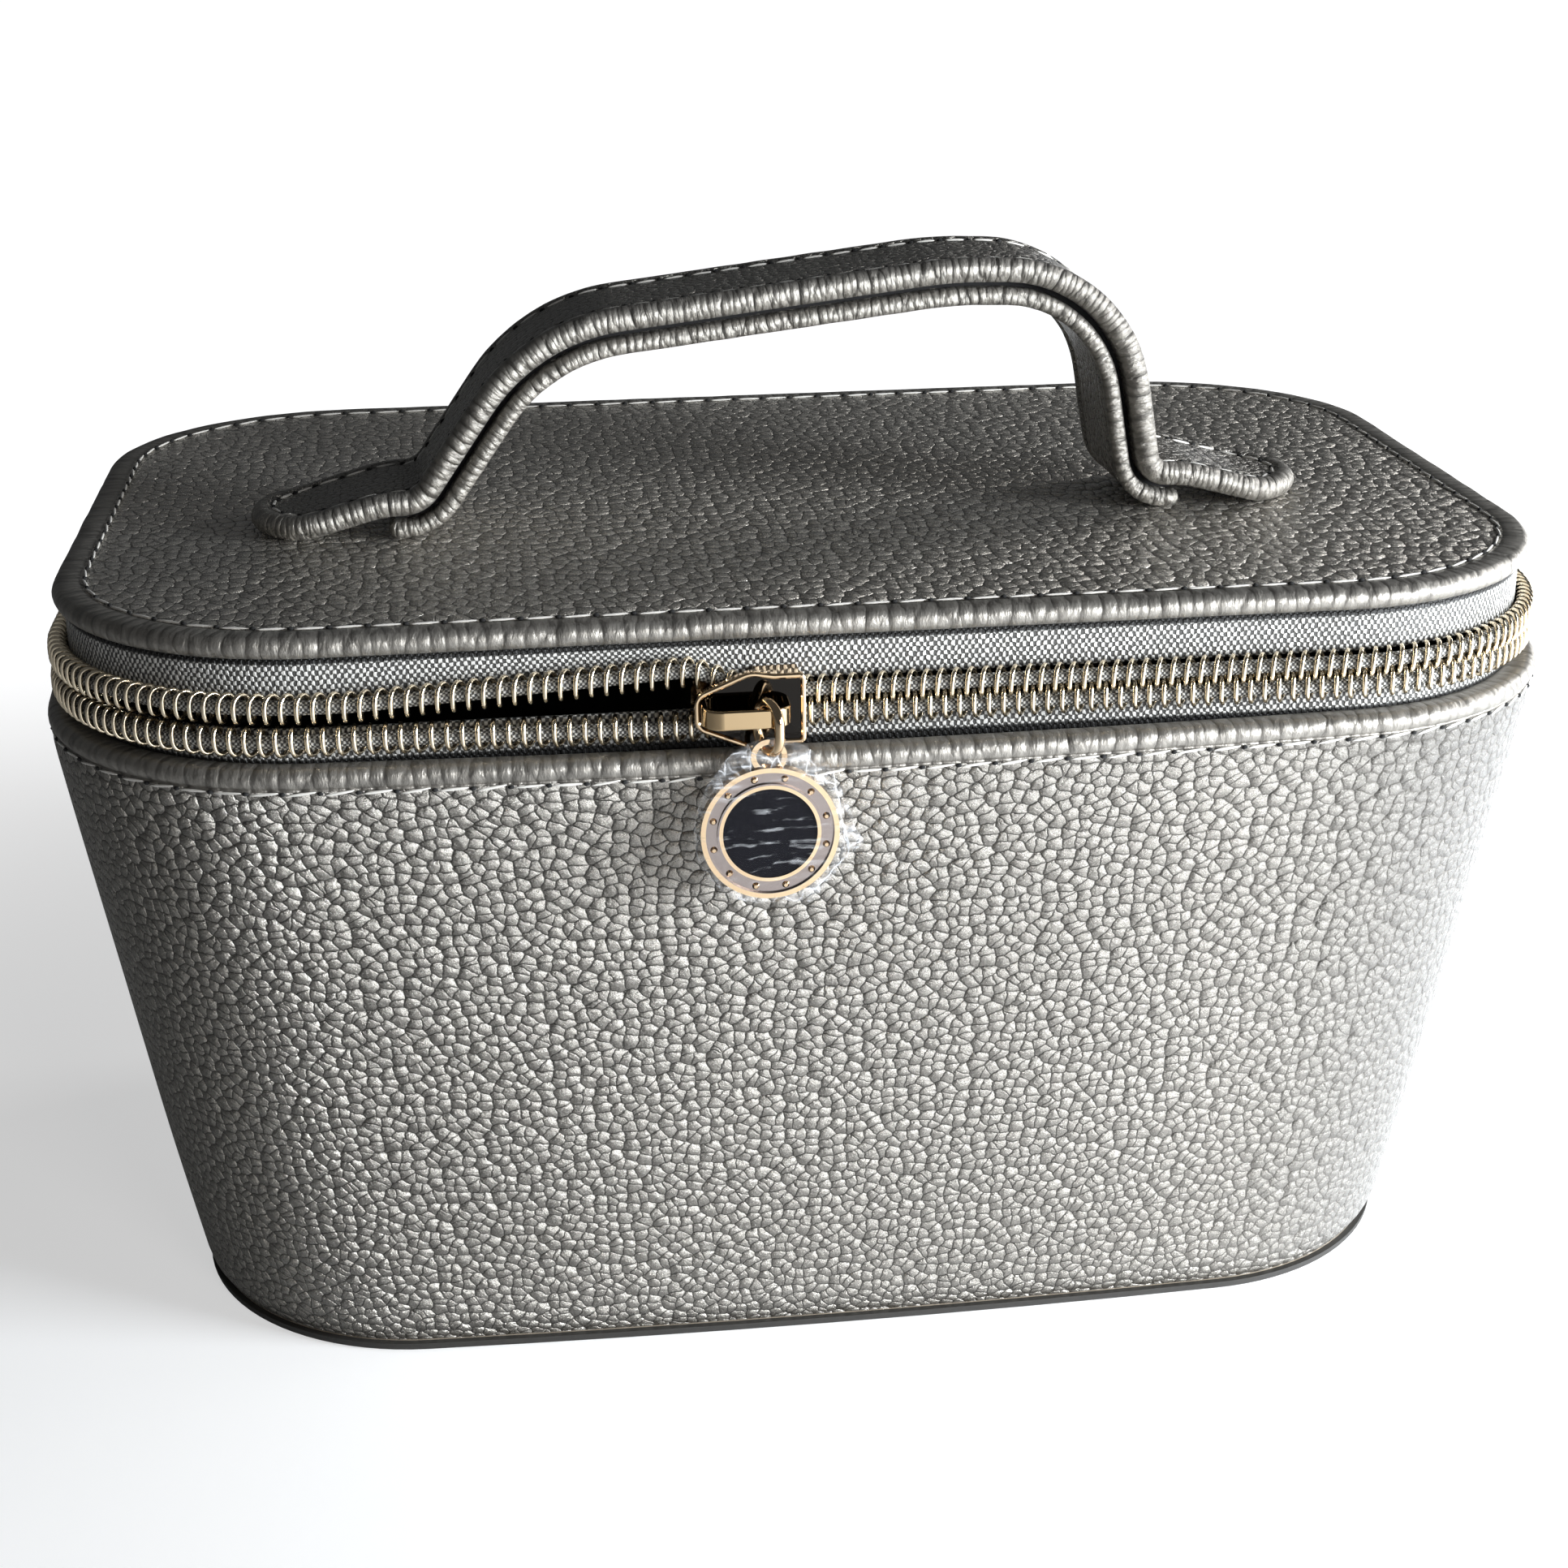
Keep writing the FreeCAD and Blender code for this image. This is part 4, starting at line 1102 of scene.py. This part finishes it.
def film_piece():
    """Thin clear pouch drawn over the pendant and gathered round its bail."""
    low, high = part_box("pendant_enamel")
    centre = (low + high) / (2 * MM)
    around, rings = 180, 26
    face_r = 9.9
    bm = bmesh.new()

    def place(i, j):
        angle = 360.0 * (i % around) / around
        turn = math.radians(-angle)
        front = j <= rings
        t = j / rings if front else (2 * rings - j) / rings
        reach = film_reach(angle)
        radius = max(reach * t, 0.01)
        x, up = radius * math.cos(turn), radius * math.sin(turn)
        rough = ripple(x, up, 0.5, 1.0 if front else 9.0)
        fine = ripple(x, up, 1.6, 4.0 if front else 6.0)
        fold = ripple(math.cos(turn), math.sin(turn), 5, t * 0.8)
        near = 1.25 + 0.16 * rough + 0.07 * fine
        away = min(1.0, max(0.0, (reach - radius) / (reach - face_r))) ** 0.7
        depth = near * away + (1 - away) * 0.1 + 0.3 * fold * (1 - abs(2 * away - 1))
        sway = 0.45 * fold * (1 - away)
        return (centre.x + x, centre.y + (-depth if front else depth) + sway, centre.z + up)

    wrapped(bm, around, 2 * rings, place, True, False)
    bmesh.ops.remove_doubles(bm, verts=bm.verts, dist=0.012)
    finished("film_pouch", bm, "film_sheet", "pendant", ["pendant_film"])


# ---- operators ----
class CASE_OT_materials(bpy.types.Operator):
    """Makes the procedural materials and dresses the frame's own pieces"""
    bl_idname = "case.materials"
    bl_label = "Materials"

    def execute(self, context):
        tone = colours()
        grain = leather("leather_strap", "plan", cell=700.0, depth=0.0008)
        # Lit and shaded copies of one leather: the lid top is painted 1.95 times as bright
        # and the wall 1.22 times, for the light on each, and the wall's ends get painted
        # shade and light.
        leather("leather_top", "plan", (0.9, 0.75, 1), lift=1.95)
        leather("leather_wall", "ring", (1, 1.08, 1), lift=1.22, ends=True)
        roll_leather("leather_roll", 200.0, 560.0, 0.0005)
        roll_leather("strap_roll", 260.0, 950.0, 0.0008)
        weave("tape_cloth", tone.tape, 1350.0, 1900.0)
        weave("cord_cloth", shade(tone.tape, 0.75), 2200.0, 2600.0)
        metal("coil_metal", tone.coil, 0.16)
        metal("dark_mirror", tone.mirror, 0.05)
        matte("thread", tone.thread, 0.55)
        matte("shaded_needle_hole", tone.hole, 0.9)
        low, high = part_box("pendant_enamel")
        middle = (low + high) / 2
        enamel_r = (high.x - low.x) / 2
        low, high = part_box("pendant_frame")
        ring_r = (high.x - low.x) / 2
        dress = {
            grain: ["rim_hem"],
            # Painted shade: the base cover takes half the crease shade colour, so that it
            # reads as the dark shadow line at the foot.
            matte("shaded_base_leather", shade(tone.shaded_crease, 0.5), 0.6): ["base_cover"],
            matte("card", tone.card, 0.9): ["base_board", "wall_board", "lid_board"],
            matte("lining_cloth", tone.lining, 0.9): [
                "base_lining", "wall_lining", "lid_lining", "hinge_strip_upper",
                "hinge_strip_lower", "upper_binding", "lower_binding", "handle_core"],
            metal("gold", tone.gold, 0.09): [
                "slider_front_plate", "slider_back_plate", "slider_post", "pull_link",
                "pendant_pips"],
            metal("bar_gold", tone.bar, 0.07): ["slider_bar"],
            pendant_metal("ring_gold", middle, enamel_r + 0.0005, ring_r - 0.0008): [
                "pendant_frame"],
            matte("enamel_gloss", tone.enamel, 0.04, Specular_IOR_Level=0.08): [
                "pendant_enamel"],
            film_paint("film_sheet", middle, ring_r): ["pendant_film"],
        }
        for material, nodes in dress.items():
            for node in nodes:
                mesh = bpy.data.objects[node].data
                mesh.materials.clear()
                mesh.materials.append(material)
        return {"FINISHED"}


class CASE_OT_body(bpy.types.Operator):
    """Leather wall, rim roll and its stitching"""
    bl_idname = "case.body"
    bl_label = "Body"

    def execute(self, context):
        wall_piece()
        rim_piece()
        body_stitching()
        return {"FINISHED"}


class CASE_OT_lid(bpy.types.Operator):
    """Leather lid top, rolled edge and stitching"""
    bl_idname = "case.lid"
    bl_label = "Lid"

    def execute(self, context):
        lid_top_piece()
        lid_roll_piece()
        lid_stitching()
        return {"FINISHED"}


class CASE_OT_zip(bpy.types.Operator):
    """Tapes, coils and their filler cords, and the face of the slider"""
    bl_idname = "case.zip"
    bl_label = "Zip"

    def execute(self, context):
        for side, body, flip in (("upper", "lid", 1), ("lower", "case", -1)):
            tape_piece(side, body, flip)
            coil_piece(side, body, flip)
            cord_piece(side, body, flip)
        slider_face_piece()
        return {"FINISHED"}


class CASE_OT_handle(bpy.types.Operator):
    """Both straps of the handle with their stitching"""
    bl_idname = "case.handle"
    bl_label = "Handle"

    def execute(self, context):
        line = handle_line()
        corner = size.strap_w / 2 - 0.01
        strap = strap_piece("upper", line, (0.0, line.length), size.strap_w, size.strap_t,
                            corner, 1)
        strap_stitching(line, corner)
        span = [line.length_at(x) for x in size.toe]
        strap_piece("under", line, span, size.under_w, size.under_t, size.under_r, -1)
        return {"FINISHED"}


class CASE_OT_film(bpy.types.Operator):
    """Clear film pouch round the pendant"""
    bl_idname = "case.film"
    bl_label = "Film"

    def execute(self, context):
        film_piece()
        return {"FINISHED"}


def make_camera(scene):
    """Camera of the photo, with no shift."""
    camera_data = bpy.data.cameras.new("camera")
    camera = placed("camera", camera_data)
    scene.camera = camera
    camera_data.sensor_width = SENSOR_MM
    camera_data.lens = SENSOR_MM * FOCAL_PX / PHOTO_PX
    camera_data.clip_start = 0.02
    camera_data.clip_end = 20.0
    back = Vector((math.sin(AZIMUTH) * math.cos(ELEVATION),
                   -math.cos(AZIMUTH) * math.cos(ELEVATION), math.sin(ELEVATION)))
    right = (-back).cross(Vector((0, 0, 1))).normalized()
    up = right.cross(-back)
    grid = Matrix((right * math.cos(ROLL) + up * math.sin(ROLL),
                   up * math.cos(ROLL) - right * math.sin(ROLL), back)).transposed()
    camera.matrix_world = (Matrix.Translation(Vector(CAMERA_PLACE_MM) * MM)
                           @ grid.to_4x4())


class CASE_OT_stage(bpy.types.Operator):
    """Floor, lights and camera"""
    bl_idname = "case.stage"
    bl_label = "Stage"

    def execute(self, context):
        scene = context.scene
        bm = bmesh.new()
        bmesh.ops.create_grid(bm, x_segments=1, y_segments=1, size=4.0)
        mesh = bpy.data.meshes.new("floor")
        bm.to_mesh(mesh)
        bm.free()
        floor = placed("floor", mesh)
        mesh.materials.append(floor_paint("floor_paint", colours().floor))
        world = bpy.data.worlds.new("studio")
        scene.world = world
        world.use_nodes = True
        nodes = Nodes(world.node_tree)
        soft = world.node_tree.nodes["Background"]
        soft.inputs["Color"].default_value = (0.93, 0.96, 1.0, 1)
        soft.inputs["Strength"].default_value = 0.08
        white = nodes.add("Background", {}, {"Color": (1, 1, 1, 1), "Strength": 1.0})
        camera_ray = nodes.add("LightPath", {}, {}, "Is Camera Ray")
        seen = nodes.add("MixShader", {},
                         {0: camera_ray, 1: Field(nodes, soft.outputs[0]), 2: white})
        nodes.join(seen, world.node_tree.nodes["World Output"].inputs["Surface"])
        for name, spot, side, power, tint in LAMPS:
            lamp = bpy.data.lights.new(name, "AREA")
            lamp.size = side
            lamp.energy = power
            lamp.color = tint
            light = placed(name, lamp)
            light.location = spot
            light.rotation_mode = "QUATERNION"
            aim = Vector(LAMP_TARGET) - Vector(spot)
            light.rotation_quaternion = aim.to_track_quat("-Z", "Y")
        make_camera(scene)
        scene.view_settings.view_transform = "Standard"
        return {"FINISHED"}


STEPS = [CASE_OT_materials, CASE_OT_body, CASE_OT_lid, CASE_OT_zip, CASE_OT_handle,
         CASE_OT_film, CASE_OT_stage]


class CASE_PT_panel(bpy.types.Panel):
    """Sidebar panel of the vanity case"""
    bl_label = "Vanity case"
    bl_idname = "CASE_PT_panel"
    bl_space_type = "VIEW_3D"
    bl_region_type = "UI"
    bl_category = "Vanity case"

    def draw(self, context):
        for step in STEPS:
            self.layout.operator(step.bl_idname)


CLASSES = (CaseSizes, CaseColours, CASE_PT_panel, *STEPS)


def register():
    for group in CLASSES:
        bpy.utils.register_class(group)
    bpy.types.Scene.case_sizes = PointerProperty(type=CaseSizes)
    bpy.types.Scene.case_colours = PointerProperty(type=CaseColours)


def unregister():
    del bpy.types.Scene.case_sizes
    del bpy.types.Scene.case_colours
    for group in reversed(CLASSES):
        bpy.utils.unregister_class(group)


def main():
    register()
    for step in STEPS:
        family, name = step.bl_idname.split(".")
        getattr(getattr(bpy.ops, family), name)()


if __name__ == "__main__":
    main()
